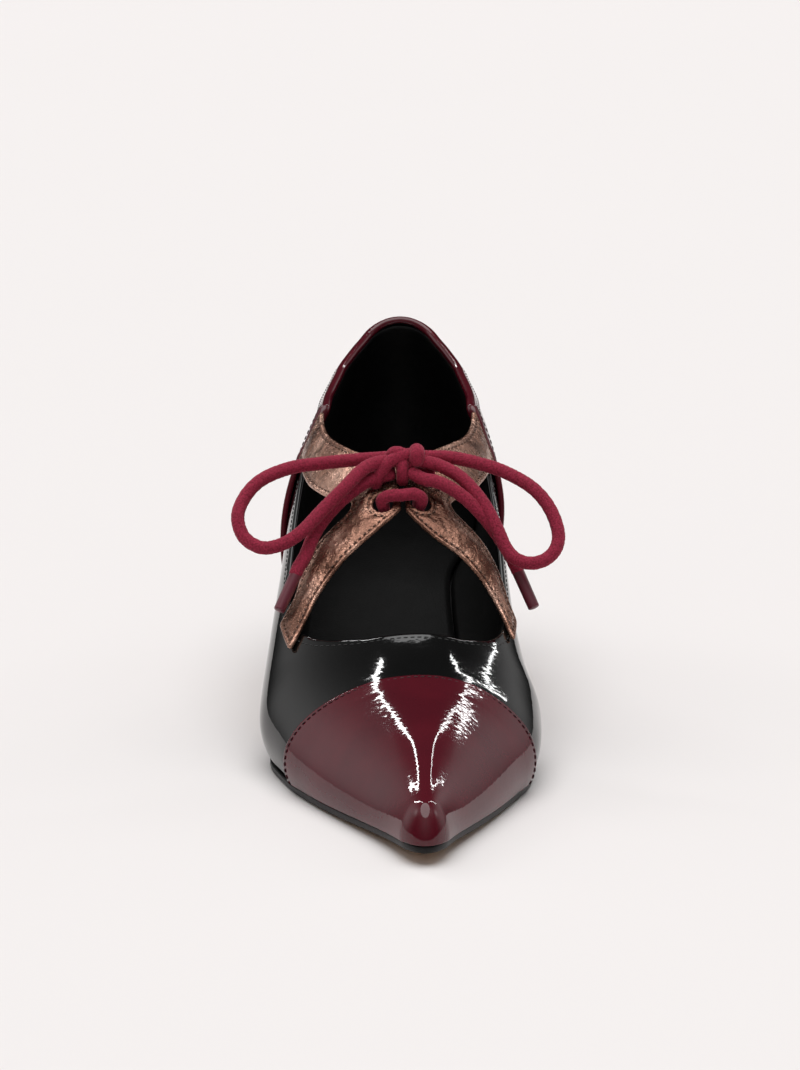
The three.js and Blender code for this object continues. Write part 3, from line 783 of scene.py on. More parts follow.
ENDS = {
    "lateral": [
        (-9, -88.3, 75.3), (-15, -90, 71.6), (-20.5, -93, 66.8), (-24.5, -97, 62), (-27.5, -102, 56),
        (-29.5, -104.5, 53),
    ],
    "medial": [
        (6.5, -89.5, 76.2), (11.2, -91.2, 75.5), (18, -93.4, 72), (24.5, -95, 65.8), (30.5, -96, 57.5),
        (33.5, -96.8, 52),
    ],
}
AGLETS = {
    "lateral": [(-29.6, -104.9, 52.5), (-35, -111.5, 42)],
    "medial": [(33.7, -96.8, 51.5), (39, -102.5, 40.5)],
}
KNOT_CENTRE = np.array([1.5, -84.5, 81])
EYELETS = {-1: [(0.466, 0.074), (0.431, 0.085)], 1: [(0.464, 0.066), (0.431, 0.085)]}
ABOVE_STRAP = OVER + STRAP + LACE / 2 + GAP


def by_knot(*points):
    """Points given by how far right, up and towards the toe they lie from the knot's middle."""
    axes = np.array([(1, 0, 0), (0, 0.242, 0.970), (0, -0.970, 0.242)])
    return [KNOT_CENTRE + np.array(p) @ axes for p in points]


def joined(parts):
    """Several closed shapes as one mesh."""
    points, faces, base = [], [], 0
    for made, some in parts:
        points.append(made)
        faces += [[base + v for v in f] for f in some]
        base += len(made)
    return np.concatenate(points), faces


# %% [markdown]
# Each tip is a plastic sleeve shrunk onto the braid, with its rims rolled in, and each end runs a
# little way into its tip. The loops and ends print their real lengths.

# %% Loops, ends and tips
TIP_RADIUS, TIP_TAPER, TIP_ROLL, TIP_SIDES = 1.82, 0.12, 0.9, 20
INTO_TIP = 0.2


def aglet(points):
    """The plastic tip, from the end of the lace to its own end."""
    path, length = through(points, 0.2)
    go = np.linspace(0, length, len(path))[:, None]
    radii = np.repeat(TIP_RADIUS - TIP_TAPER * (go / length), TIP_SIDES, axis=1)
    for distance_to_end in (go, length - go):
        inside = np.clip(1 - distance_to_end / TIP_ROLL, 0, 1)
        radii = radii * np.sqrt(1 - 0.9 * inside ** 4)
    return tube(path, radii, TIP_SIDES)


def free_lace(name, node, points):
    made, faces, path, length = braid(points)
    piece = put(name, made, faces, [lace_cotton], "lace_cotton", node)
    print(f"{name}: {length:.0f} mm long")


for side in ("lateral", "medial"):
    tip = put(f"tip_{side}", *aglet(AGLETS[side]), [aglet_plastic], "aglet_plastic", f"aglet_{side}")
    inwards = -1 if side == "lateral" else 1
    root = by_knot((-2.8, -4.2, -0.2) if side == "lateral" else (1, -3.6, 1.6))
    into_tip = np.array(AGLETS[side][0]) * (1 - INTO_TIP) + np.array(AGLETS[side][1]) * INTO_TIP
    free_lace(f"end_{side}", f"lace_end_{side}", root + ENDS[side] + [into_tip])
    root = by_knot((1.2 * inwards, 0.6, -1.2), (1.8 * inwards, -0.4, 0.4))
    free_lace(f"loop_{side}", f"bow_loop_{side}", root[:1] + LOOPS[side] + root[1:])

# %% [markdown]
# The lace goes down through the upper eyelets and up through the lower ones, and shows as a bar
# between these. The knot is modelled as it lies: a slanting turn, a thick round turn beside it,
# one stretch that hangs in the middle, and short stretches where lace goes into the knot.

# %% The knot, and the lace through the eyelets
BAR_THICKNESS = 0.93


def strand(points, thickness=1.0):
    """A stretch of lace, as a share of its full thickness."""
    return braid(points, LACE * thickness)[:2]


def lace_route():
    """Down each upper eyelet, up the lower one, and over in a bar."""
    top = OVER + STRAP
    straight = LACE / 4
    halves = []
    for side, (low, high) in EYELETS.items():
        middle = [(a + b) / 2 for a, b in zip(low, high)]
        halves.append([
            place(*high, side, ABOVE_STRAP),
            place(*high, side, OVER - straight),
            place(*middle, side, OVER - LACE),
            place(*low, side, OVER - straight),
            place(*low, side, top + straight),
            place(low[0], 0.6 * low[1], side, ABOVE_STRAP),
        ])
    bar = place(EYELETS[-1][0][0], 0, 1, ABOVE_STRAP)
    return halves[0] + [bar] + halves[1][::-1]


put("lace_in_eyelets", *strand(lace_route(), BAR_THICKNESS), [lace_cotton], "lace_cotton", "lace")
from_left = [place(*EYELETS[-1][1], -1, ABOVE_STRAP)]
from_right = [place(*EYELETS[1][1], 1, ABOVE_STRAP)]
put("knot", *joined([
    strand(by_knot(
        (-8.8, -8, -1.5), (-8.2, -6.6, 1.4), (-7, -4.1, 2.6), (-4.9, -1.3, 3), (-2.2, 0.4, 2.8),
        (0.4, 1.1, 2.2), (2, 1.4, 0.6),
    ), 0.92),
    strand(by_knot(
        (3.2, 0.6, -2), (3.3, 2, -0.2), (3.4, 2, 2.2), (3.5, 0.8, 3.5), (3.3, -0.2, 2.6), (3, -0.4, 0.2),
    ), 1.15),
    strand(by_knot((-4.8, -0.6, -1.2), (-4, 1, 1), (-2.6, 1.8, 2), (-0.8, 1.3, 1.8), (1, 0.8, 0)), 0.95),
    strand(by_knot(
        (-0.8, -0.2, 0.8), (-0.8, -1.8, 2.7), (-0.8, -4, 2.6), (-0.8, -6, 1.4), (-0.9, -6.9, -0.6),
    ), 0.9),
    strand(by_knot((-3, -1.4, 0.5), (0, -1.8, 1), (3, -1.4, 0.2))),
    strand(from_left + by_knot((-7, -4.5, -2.5), (-3.5, -1.5, -2))),
    strand(from_right + by_knot((7, -4, -2.5), (3.5, -1.5, -2), (1, 0, -1.5))),
]), [lace_cotton], "lace_cotton", "bow_knot")

# %% [markdown]
# The opening of the shoe is cut in the side view: along the collar, down at the straps, and up at
# the throat. The seams of the cap and the counter are cut in the side view as well.

# %% Where the leather is cut
TOPLINE = table("at height", [
    (0, 1.02), (0.03, 0.96), (0.07, 0.915), (0.13, 0.87), (0.19, 0.86), (0.245, 0.88), (0.285, 0.68),
    (0.35, 0.63), (0.43, 0.61), (0.51, 0.61), (0.57, 0.62), (0.61, 0.63), (0.63, 0.66),
])
THROAT = 0.642
CAP_SEAM = table("at station", [(0, 0.72), (1.2, 0.722)])
COUNTER_SEAM = table("at station", [(0, 0.34), (0.3, 0.315), (0.7, 0.285), (0.92, 0.243)])
SKY = 220


def station(points):
    return (TREAD_SETBACK - points[..., 1]) / LAST_LENGTH


def side_view(at, height):
    return np.stack([along(at), ground(at) + SEAT + height * QUARTER_HEIGHT], axis=-1)


def mouth_outline():
    at = np.linspace(0, 0.63, 160)
    return np.concatenate([
        [(100, SKY), (100, side_view(0, 1)[1])],
        side_view(at, value(TOPLINE, "height", at)),
        [side_view(THROAT, INSTEP_HEIGHT / QUARTER_HEIGHT), (along(THROAT), SKY)],
    ])


def below_mouth(points):
    """How far below the opening the points lie, in the side view."""
    return -distance(points[..., 1:], MOUTH)


def ahead_of(seam, points):
    """How far towards the toe from a seam the points lie."""
    at = station(points)
    height = (points[..., 2] - ground(at) - SEAT) / QUARTER_HEIGHT
    return along(value(seam, "station", height)) - points[..., 1]


def over_last(turns, shares, closed):
    """A fine grid over the last, joined along the ridge."""
    points, outward = last(turns[:, None], shares[None, :])
    rows, columns = points.shape[:2]
    index = np.arange(rows * columns).reshape(rows, columns)
    faces = grid_faces(rows, columns, closed)
    if shares[-1] == 1:
        mirror = (rows - np.arange(rows)) % rows if closed else rows - 1 - np.arange(rows)
        joint = np.arange(rows * columns)
        joint[index[:, -1]] = np.minimum(index[:, -1], index[mirror, -1])
        both = outward[:, -1] + outward[mirror, -1]
        outward[:, -1] = both / np.linalg.norm(both, axis=-1, keepdims=True)
        faces = joint[faces]
    return points.reshape(-1, 3), outward.reshape(-1, 3), faces, np.tile(shares, rows)


def off_last(grid, out):
    return grid[0] + grid[1] * out


MOUTH = mouth_outline()
ALL_ROUND = np.linspace(0, 2 * np.pi, 720, endpoint=False)
SHARES = 1 - (1 - np.linspace(0, 1, 72)) ** 1.15


def leather(name, grid, keep, inner, outer, materials, slot, node, lined_rim=None):
    """A wall of leather over the last, cut where keep is zero. The inner side has the last
    material, and so has the rim where lined_rim says so."""
    points, outward, faces, share = grid
    keep = np.where(np.abs(keep) < 0.02, 0.02, keep)
    made, polygons = shell(points, outward, faces, keep, inner, outer, flat_edge=share == 0)
    side = np.zeros(len(polygons), int)
    count = len(cut(faces, keep)[0])
    side[count:2 * count] = len(materials) - 1
    if lined_rim is not None:
        rim = [lined_rim(made[f].mean(axis=0)) for f in polygons[2 * count:]]
        side[2 * count:] = np.where(rim, len(materials) - 1, 0)
    return put(name, made, polygons, materials, slot, node, face_material=side)


def eased(amount):
    """From 1 to 0, softly, as the amount goes from 0 to 1."""
    t = np.clip(amount, 0, 1)
    return 1 - t * t * (3 - 2 * t)


print(f"opening: {len(MOUTH)} points")

# %% [markdown]
# The upper goes all round. Its edge is the opening, and under the counter it stops a little
# lower. A narrow band behind the cap's seam stands a hair proud, which shows in the highlights.

# %% The upper
LINING_BELOW = 2.0
COUNTER_FRONT, COUNTER_EASE = 0.262, 0.012
VAMP_BAND, VAMP_BAND_HEIGHT = 3.4, 0.02
VAMP_BAND_EASE, VAMP_SEAM_EASE = 1.6, 0.8
LINED_FROM = 0.3

round_grid = over_last(ALL_ROUND, SHARES, True)
past_counter = eased((COUNTER_FRONT - station(round_grid[0])) / COUNTER_EASE)
round_below = below_mouth(round_grid[0] + round_grid[1] * WALL / 2)
upper_keep = round_below - WALL / 2 - LINING_BELOW * (1 - past_counter)
behind_cap = -ahead_of(CAP_SEAM, off_last(round_grid, WALL))
vamp_band = eased((behind_cap - VAMP_BAND) / VAMP_BAND_EASE)
vamp_band = VAMP_BAND_HEIGHT * vamp_band * eased((VAMP_SEAM_EASE - behind_cap) / VAMP_SEAM_EASE)
leather(
    "vamp_and_quarters", round_grid, upper_keep, 0, WALL + vamp_band,
    [patent_black, lining], "patent_black", "upper",
    lined_rim=lambda p: p[1] > along(LINED_FROM),
)

# %% [markdown]
# The cap lies over the vamp, and is stiff. The box toe under it is flat on top, so the leather
# turns over two soft ridges, one on each side of the flat. They run together towards the tip.

# %% The cap
CAP_START, CAP_RIBS = 0.705, 481
CAP_BAND, CAP_BAND_HEIGHT, CAP_BAND_EASE = 6.2, 0.02, 1.8
CAP_RIDGES = table("at middle lateral medial wide high", [
    (0.70, 7, 13.4, 12.8, 8, 0.42), (0.742, 7, 12.6, 12.0, 8, 0.42), (0.78, 7, 10.5, 9.8, 6.5, 0.38),
    (0.82, 7.1, 9, 8.6, 5, 0.28), (0.86, 7.1, 7.6, 7.3, 4, 0.2), (0.91, 7.1, 5.9, 5.9, 3, 0.1),
    (0.96, 7.1, 3.8, 4.6, 2.5, 0.03), (1.0, 7.1, 2.3, 3.3, 2, 0.0),
])


def cap_ridges(points):
    """How high the ridges stand at each point. Their tops are round, and their sides long."""
    at = station(points)
    across = points[:, 0] - value(CAP_RIDGES, "middle", at)
    wide, high = value(CAP_RIDGES, "wide", at), value(CAP_RIDGES, "high", at)
    line = np.where(across < 0, -value(CAP_RIDGES, "lateral", at), value(CAP_RIDGES, "medial", at))
    return high * (np.exp(0.25 - np.sqrt(((across - line) / wide) ** 2 + 0.0625)) - 0.5)


cap_start = turn_of(CAP_START, 1)
cap_grid = over_last(np.linspace(cap_start, 2 * np.pi - cap_start, CAP_RIBS), SHARES, False)
cap_middle = off_last(cap_grid, OVER + OVERLAY / 2)
cap_keep = ahead_of(CAP_SEAM, cap_middle) - OVERLAY / 2
cap_band = CAP_BAND_HEIGHT * (eased((cap_keep - CAP_BAND) / CAP_BAND_EASE) - 1)
cap_outer = OVER + OVERLAY + cap_band + cap_ridges(cap_middle)
leather("cap", cap_grid, cap_keep, OVER, cap_outer, [patent_burgundy, lining], "patent_burgundy", "toe_cap")

# %% [markdown]
# The counter goes round the heel. Its top is folded over the upper's edge, down to the lining,
# and its front edge is turned in, which leaves a thin bead along the seam.

# %% The counter
COUNTER_END, COUNTER_RIBS, COUNTER_ROWS = 0.36, 261, 150
FOLD_REST, FOLD_EASE = 0.2, 1.5
FOLD = (OVER + OVERLAY - FOLD_REST) / 2
SEAM_BEAD, SEAM_BEAD_WIDTH, SEAM_BEAD_EASE = 0.75, 2.4, 1.5

counter_end = turn_of(COUNTER_END, 1)
counter_grid = over_last(
    np.linspace(-counter_end, counter_end, COUNTER_RIBS), np.linspace(0, 1, COUNTER_ROWS), False,
)
counter_middle = off_last(counter_grid, OVER + OVERLAY / 2)
counter_seam_in = -ahead_of(COUNTER_SEAM, counter_middle) - OVERLAY / 2
counter_top_in = below_mouth(counter_middle) - FOLD
counter_keep = np.minimum(counter_top_in, counter_seam_in)
fold_inner = OVER - (OVER - FOLD_REST) * eased((counter_top_in - FOLD_REST) / FOLD_EASE)
bead = SEAM_BEAD * eased((counter_seam_in - SEAM_BEAD_WIDTH) / SEAM_BEAD_EASE)
counter_outer = OVER + OVERLAY + bead
leather(
    "heel_counter", counter_grid, counter_keep, fold_inner, counter_outer, [patent_burgundy, lining],
    "patent_burgundy", "counter",
)

# %% [markdown]
# The straps are cut flat, as a maker would, with their eyelets punched. Flat, a strap's point is
# given by its station and by how far down the rib it lies. Bending it over the last keeps both.
# The stitches pull in a groove along each edge, the middle is softly padded, and a few creases
# run where the lace pulls.

# %% The straps
STRAPS = {
    "lateral": (-1, [
        [(0.476, 0.007), (0.488, 0.05), (0.508, 0.15), (0.526, 0.26), (0.551, 0.375), (0.575, 0.45),
         (0.598, 0.54)],
        [(0.545, 0.56), (0.53, 0.475), (0.512, 0.435), (0.484, 0.35), (0.471, 0.25), (0.463, 0.205),
         (0.454, 0.195), (0.446, 0.22)],
        [(0.441, 0.255), (0.416, 0.32), (0.379, 0.395), (0.345, 0.44), (0.285, 0.505), (0.23, 0.54)],
        [(0.2, 0.38), (0.245, 0.36), (0.285, 0.335), (0.318, 0.3), (0.352, 0.238), (0.384, 0.155),
         (0.402, 0.075), (0.411, 0.007)],
    ]),
    "medial": (1, [
        [(0.478, 0.007), (0.492, 0.045), (0.508, 0.12), (0.52, 0.24), (0.534, 0.33), (0.553, 0.41),
         (0.582, 0.485)],
        [(0.536, 0.53), (0.522, 0.475), (0.5, 0.43), (0.478, 0.345), (0.467, 0.25), (0.461, 0.205),
         (0.453, 0.19), (0.445, 0.205)],
        [(0.434, 0.24), (0.405, 0.305), (0.375, 0.355), (0.345, 0.4), (0.285, 0.485), (0.23, 0.53)],
        [(0.19, 0.37), (0.24, 0.345), (0.285, 0.315), (0.327, 0.258), (0.358, 0.188), (0.384, 0.115),
         (0.403, 0.055), (0.412, 0.007)],
    ]),
}
STRAP_STEP = 0.45
STRAP_STATIONS = (0.185, 0.605)
STRAP_REACH = 62
STRAP_STITCH = 1.5
GROOVE, GROOVE_WIDTH = 0.3, 0.5
PADDING, PADDED_FROM, PADDING_EASE = 0.25, 1.8, 3
CREASED_FROM, CREASE_EASE = 2.2, 1.5
WRINKLES = {
    -1: [
        (-10, -88, 66, 55, 2.2, 9, 0.3), (-13, -92, 66, 70, 1.6, 8, -0.25),
        (-24, -103, 57, 40, 2.4, 12, 0.35), (-19, -98, 62, 30, 1.5, 9, -0.25),
        (-28, -111, 48, 60, 1.8, 7, -0.25),
    ],
    1: [
        (10, -86, 68, 130, 1.8, 8, 0.35), (13, -90, 68, 120, 1.5, 7, -0.35),
        (16, -93, 66, 140, 1.6, 8, 0.3), (22, -100, 60, 135, 2.2, 12, 0.35),
        (28, -108, 52, 120, 1.8, 9, -0.3), (20, -92, 66, 100, 1.4, 6, -0.3),
    ],
}


def wrinkles(points, side):
    """How high the creases stand at each point. Each crease has a middle, a direction seen from
    the front in degrees, a width, a length and a height."""
    total = np.zeros(len(points))
    for x, y, z, angle, wide, long, high in WRINKLES[side]:
        away = points - np.array([x, y, z])
        c, s = math.cos(math.radians(angle)), math.sin(math.radians(angle))
        forward = away[:, 0] * c + away[:, 2] * s
        sideways = away[:, 2] * c - away[:, 0] * s
        total += high * np.exp(-((sideways / wide) ** 2) - (forward / long) ** 2)
    return total


def flat_curve(rows):
    """A smooth curve through flat points, with its ends kept."""
    path, _ = through([(x, y, 0) for x, y in rows], 0.7)
    return path[:, :2]


def strap(name, side, edges):
    """Cuts one strap flat, bends it over the last and gives its grid, for the stitches."""
    stations = np.arange(*STRAP_STATIONS, STRAP_STEP / LAST_LENGTH)
    turns = turn_of(stations, side)
    share, length = girth_table(turns)
    girth = length[:, -1]
    downs = np.arange(0, STRAP_REACH, STRAP_STEP)
    shares = np.stack([np.interp(girth[i] - downs, length[i], share) for i in range(len(stations))])
    points, outward = last(turns[:, None], shares)
    flat = np.stack(np.broadcast_arrays(stations[:, None] * LAST_LENGTH, downs), axis=-1).reshape(-1, 2)

    def flattened(at, down):
        return at * LAST_LENGTH, down * np.interp(at, stations, girth)

    outline = np.concatenate([flat_curve([flattened(*spot) for spot in rows]) for rows in edges])
    edge = distance(flat, outline)
    for eyelet in EYELETS[side]:
        away = np.linalg.norm(flat - np.array(flattened(*eyelet)), axis=1)
        edge = np.minimum(edge, away - EYELET / 2)
    points, outward = points.reshape(-1, 3), outward.reshape(-1, 3)
    edge = np.minimum(edge, ahead_of(COUNTER_SEAM, points + outward * (OVER + STRAP / 2)) - GAP)
    faces = grid_faces(len(stations), len(downs), False)
    if side > 0:
        faces = faces[:, ::-1]
    groove = GROOVE * np.exp(-(((edge - STRAP_STITCH) / GROOVE_WIDTH) ** 2))
    padded = PADDING * (1 - eased((edge - PADDED_FROM) / PADDING_EASE)) * (edge > PADDED_FROM)
    creased = wrinkles(points, side) * eased((CREASED_FROM - edge) / CREASE_EASE)
    leather(
        f"strap_leather_{name}", (points, outward, faces, np.ones(len(points))), edge - STRAP / 2, OVER,
        OVER + STRAP - groove + padded + creased,
        [metallic_bronze, lining], "metallic_bronze", f"strap_{name}",
    )
    return points, outward, faces, edge


strap_grids = {name: strap(name, *shape) for name, shape in STRAPS.items()}

# %% [markdown]
# Sole, insole and heel are stacks of outlines. Each outline goes round the feather line, and
# strips across close the stack below and above.

# %% The sole and the insole


def stack(rings, across=24):
    """A closed solid from outlines, lowest first. Gives points, faces, and which face is where:
    0 is a side, 1 the underside and 2 the top."""
    n = len(rings[0])
    points = [np.asarray(r) for r in rings]
    faces, where = [], []
    for k in range(len(rings) - 1):
        for i in range(n):
            j = (i + 1) % n
            faces.append([k * n + i, k * n + n + i, k * n + n + j, k * n + j])
            where.append(0)
    base = len(rings) * n
    for ring, part in ((0, 1), (len(rings) - 1, 2)):
        edge = points[ring]
        rows = n // 2 + 1
        index = np.zeros((rows, across + 1), int)
        index[:, 0] = ring * n + np.arange(rows)
        index[:, -1] = ring * n + (n - np.arange(rows)) % n
        index[0], index[-1] = ring * n, ring * n + n // 2
        for i in range(1, rows - 1):
            t = np.arange(1, across)[:, None] / across
            points.append(edge[i] * (1 - t) + edge[n - i] * t)
            index[i, 1:-1] = base + np.arange(across - 1)
            base += across - 1
        for i in range(rows - 1):
            for k in range(across):
                loop = [index[i, k], index[i + 1, k], index[i + 1, k + 1], index[i, k + 1]]
                loop = [v for p, v in enumerate(loop) if v != loop[p - 1]]
                if len(loop) > 2:
                    faces.append(loop[::-1] if part == 2 else loop)
                    where.append(part)
    return np.concatenate(points), faces, np.array(where)


def feather(out, height):
    """The feather line moved out, at a height above the sole's underside."""
    points, outward = last(ALL_ROUND, 0.0)
    ring = points + outward * out
    ring[:, 2] += height - SEAT
    return ring


points, faces, where = stack([
    feather(EDGE - 0.8, 0), feather(EDGE - 0.5, 0.12), feather(EDGE - 0.15, 0.45), feather(EDGE, 0.9),
    feather(EDGE, 1.9), feather(EDGE - 0.1, 2.1), feather(EDGE - 0.35, SOLE),
])
put(
    "sole", points, faces, [sole_edge, sole_under], "sole_black", "outsole",
    face_material=np.where(where == 1, 1, 0),
)
sock = stack([
    feather(-GAP, SEAT), feather(-GAP, SEAT + INSOLE - 0.4), feather(-2 * GAP, SEAT + INSOLE),
])
put("sock", *sock[:2], [insole_sock], "insole_black", "insole")

# %% [markdown]
# The heel is a block covered in the upper's leather. It widens from the tread to the seat under
# the foot, slowly at first, and its top follows the sole. It stands on a piece of rubber.

# %% The heel and its top piece
HEEL_SWEEP = table("at spread", [(0, 0), (0.35, 0.12), (0.7, 0.5), (1, 1)])
HEEL_FLANK, HEEL_BREAST, HEEL_LEVELS = 60, 31, 40
TOP_LEVELS = 5


def flank(side):
    """The seat's outline from the heel's back to its front, on one side."""
    seat = turn_of(HEEL_SEAT_LENGTH / LAST_LENGTH, 1)
    return off_last(last(side * np.linspace(0, seat, HEEL_FLANK + 1), 0.0), WALL)


medial, lateral = flank(1), flank(-1)
breast = np.linspace(0, 1, HEEL_BREAST)[1:-1, None]
heel_seat = np.concatenate([medial, medial[-1] * (1 - breast) + lateral[-1] * breast, lateral[:0:-1]])


def heel_ring(spread, height_at):
    """The heel's outline between the tread, 0, and the seat, 1."""
    front, back = medial[-1, 1], medial[0, 1]
    narrow = TREAD_WIDTH / np.ptp(heel_seat[:, 0])
    tread = TREAD_LENGTH * ((heel_seat[:, 1] - front) / (back - front) - 0.5)
    y = tread * (1 - spread) + heel_seat[:, 1] * spread
    return vector(heel_seat[:, 0] * (narrow * (1 - spread) + spread), y, height_at(y))


def heel_height(share):
    """Heights at a share of the way from the top piece to the sole."""
    base = TOP_PIECE + GAP
    return lambda y: base + share * (ground(np.maximum(0, (TREAD_SETBACK - y) / LAST_LENGTH)) - GAP - base)


block = stack([
    heel_ring(value(HEEL_SWEEP, "spread", share), heel_height(share))
    for share in np.linspace(0, 1, HEEL_LEVELS)
])
put("heel_block", *block[:2], [patent_black], "heel_cover", "heel")
lift = stack([
    heel_ring(0, lambda y, z=z: z + 0 * y) for z in np.linspace(0, TOP_PIECE, TOP_LEVELS)
])
put("top_lift", *lift[:2], [top_rubber], "top_piece_rubber", "top_piece")

# %% [markdown]
# Stitches repeat along a line, so Geometry Nodes set one small thread on every point of a row.
# Each point carries two directions, ahead along the row and out of the leather, and the thread
# is turned to both.

# %% Stitches


def stitch_tree():
    tree = bpy.data.node_groups.new("stitch_row", "GeometryNodeTree")
    face = tree.interface
    face.new_socket("Row", in_out="INPUT", socket_type="NodeSocketGeometry")
    for name in ("Stitch length", "Thread thickness"):
        face.new_socket(name, in_out="INPUT", socket_type="NodeSocketFloat")
    face.new_socket("Thread", in_out="INPUT", socket_type="NodeSocketMaterial")
    face.new_socket("Stitches", in_out="OUTPUT", socket_type="NodeSocketGeometry")
    nodes, links = tree.nodes, tree.links
    given, result = nodes.new("NodeGroupInput"), nodes.new("NodeGroupOutput")
    bead = nodes.new("GeometryNodeMeshUVSphere")
    bead.inputs["Segments"].default_value = 6
    bead.inputs["Rings"].default_value = 4
    bead.inputs["Radius"].default_value = 0.5
    size = nodes.new("ShaderNodeCombineXYZ")
    links.new(given.outputs["Stitch length"], size.inputs["X"])
    links.new(given.outputs["Thread thickness"], size.inputs["Y"])
    links.new(given.outputs["Thread thickness"], size.inputs["Z"])
    stretch = nodes.new("GeometryNodeTransform")
    links.new(bead.outputs["Mesh"], stretch.inputs["Geometry"])
    links.new(size.outputs["Vector"], stretch.inputs["Scale"])
    turn = None
    for attribute, axis, pivot in (("ahead", "X", "AUTO"), ("out", "Z", "X")):
        read = nodes.new("GeometryNodeInputNamedAttribute")
        read.data_type = "FLOAT_VECTOR"
        read.inputs["Name"].default_value = attribute
        align = nodes.new("FunctionNodeAlignRotationToVector")
        align.axis, align.pivot_axis = axis, pivot
        links.new(read.outputs["Attribute"], align.inputs["Vector"])
        if turn:
            links.new(turn, align.inputs["Rotation"])
        turn = align.outputs["Rotation"]
    spread = nodes.new("GeometryNodeInstanceOnPoints")
    links.new(given.outputs["Row"], spread.inputs["Points"])
    links.new(stretch.outputs["Geometry"], spread.inputs["Instance"])
    links.new(turn, spread.inputs["Rotation"])
    real = nodes.new("GeometryNodeRealizeInstances")
    links.new(spread.outputs["Instances"], real.inputs["Geometry"])
    paint = nodes.new("GeometryNodeSetMaterial")
    links.new(real.outputs["Geometry"], paint.inputs["Geometry"])
    links.new(given.outputs["Thread"], paint.inputs["Material"])
    links.new(paint.outputs["Geometry"], result.inputs["Stitches"])
    return tree


STITCH_ROW = stitch_tree()
STITCH_LENGTH, STITCH_PITCH, THREAD = 1.5, 1.95, 0.42
STRAP_STITCH_LENGTH, STRAP_THREAD = 1.4, 0.4
THROAT_INSET, CAP_INSET, COUNTER_INSET = 2.1, 1.5, 2.0
SUNK, LOOK_AHEAD = 0.02, 0.4


def even_rows(lines, lift, wanted):
    """Points at an even pitch along the lines, lifted off the last, with ahead and out."""
    where, ahead, out = [], [], []
    for points, outward in lines:
        points = points + outward * lift
        go = np.concatenate([[0], np.linalg.norm(np.diff(points, axis=0), axis=1).cumsum()])
        if go[-1] < 4 * STITCH_PITCH:
            continue

        def read(vectors, at):
            return np.stack([np.interp(at, go, vectors[:, k]) for k in range(3)], axis=1)

        at = np.arange(STITCH_PITCH / 2, go[-1], STITCH_PITCH)
        spot = read(points, at)
        good = np.array([wanted(p) for p in spot])
        where.append(spot[good])
        ahead.append((read(points, at + LOOK_AHEAD) - read(points, at - LOOK_AHEAD))[good])
        out.append(read(outward, at)[good])
    return np.concatenate(where), np.concatenate(ahead), np.concatenate(out)


def stitch(name, rows, thread, length=STITCH_LENGTH, thickness=THREAD):
    """Sews rows of points, and leaves the stitches as one plain mesh."""
    where, ahead, out = rows
    mesh = bpy.data.meshes.new(name)
    mesh.from_pydata((where * MM).tolist(), [], [])
    for attribute, vectors in (("ahead", ahead), ("out", out)):
        mesh.attributes.new(attribute, "FLOAT_VECTOR", "POINT").data.foreach_set("vector", vectors.ravel())
    row = bpy.data.objects.new(name, mesh)
    scene.collection.objects.link(row)
    sew = row.modifiers.new("sew", "NODES")
    sew.node_group = STITCH_ROW
    names = {s.name: s.identifier for s in STITCH_ROW.interface.items_tree if s.in_out == "INPUT"}
    sew[names["Stitch length"]] = length * MM
    sew[names["Thread thickness"]] = thickness * MM
    sew[names["Thread"]] = thread
    made = bpy.data.meshes.new_from_object(row.evaluated_get(bpy.context.evaluated_depsgraph_get()))
    row.modifiers.clear()
    row.data = made
    made.name = name
    made.shade_smooth()
    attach(row, "root")
    print(f"{name}: {len(where)} stitches")


def row_lines(grid, keep, inset):
    return contour(*grid[:3], keep - inset)


stitch("stitches_throat", even_rows(
    row_lines(round_grid, round_below, THROAT_INSET), WALL, lambda p: p[1] < along(0.31),
), thread_black)
stitch("stitches_cap", even_rows(
    row_lines(cap_grid, cap_keep + OVERLAY / 2, CAP_INSET), OVER + OVERLAY - SUNK, lambda p: True,
), thread_burgundy)
stitch("stitches_counter", even_rows(
    row_lines(counter_grid, counter_keep, COUNTER_INSET), OVER + OVERLAY + 0.3, lambda p: p[2] > 30,
), thread_burgundy)
for name, grid in strap_grids.items():
    stitch(f"stitches_strap_{name}", even_rows(
        row_lines(grid, grid[3], STRAP_STITCH), OVER + STRAP - SUNK, lambda p: p[2] < 90,
    ), thread_bronze, length=STRAP_STITCH_LENGTH, thickness=STRAP_THREAD)

# %% [markdown]
# The shoe stands on a pale seamless floor, which runs past the picture on every side.

# %% Floor
HALF = 8
floor = bpy.data.meshes.new("floor")
corners = [(-HALF, -HALF, 0), (HALF, -HALF, 0), (HALF, HALF, 0), (-HALF, HALF, 0)]
floor.from_pydata(corners, [], [(0, 1, 2, 3)])
floor = bpy.data.objects.new("floor", floor)
scene.collection.objects.link(floor)
pale, nodes, links, shader, here = new_material("floor_pale")
tone = ramp(nodes, links, noise(nodes, links, here, 0.5), [
    (0.3, (0.82, 0.79, 0.782)), (0.7, (0.825, 0.795, 0.787)),
])
links.new(tone, shader.inputs["Base Color"])
shader.inputs["Roughness"].default_value = 0.95
shader.inputs["Specular IOR Level"].default_value = 0.1
floor.data.materials.append(pale)
print(f"floor: {2 * HALF} m across")

# %% [markdown]
# Patent leather shows its surroundings, so each reflection on the toe comes from one light. Two
# tall bent strips behind the shoe draw the two bright streaks, and soft patches in the
# surroundings draw the paler flanks. Everything else is dark. A wide sun lights floor and lace.

# %% Lights


def towards(around, up):
    """A direction: degrees round the shoe, where 0 is the camera's side and 90 the big-toe
    side, and degrees above the floor."""
    a, e = math.radians(around), math.radians(up)
    return Vector((math.sin(a) * math.cos(e), -math.cos(a) * math.cos(e), math.sin(e)))


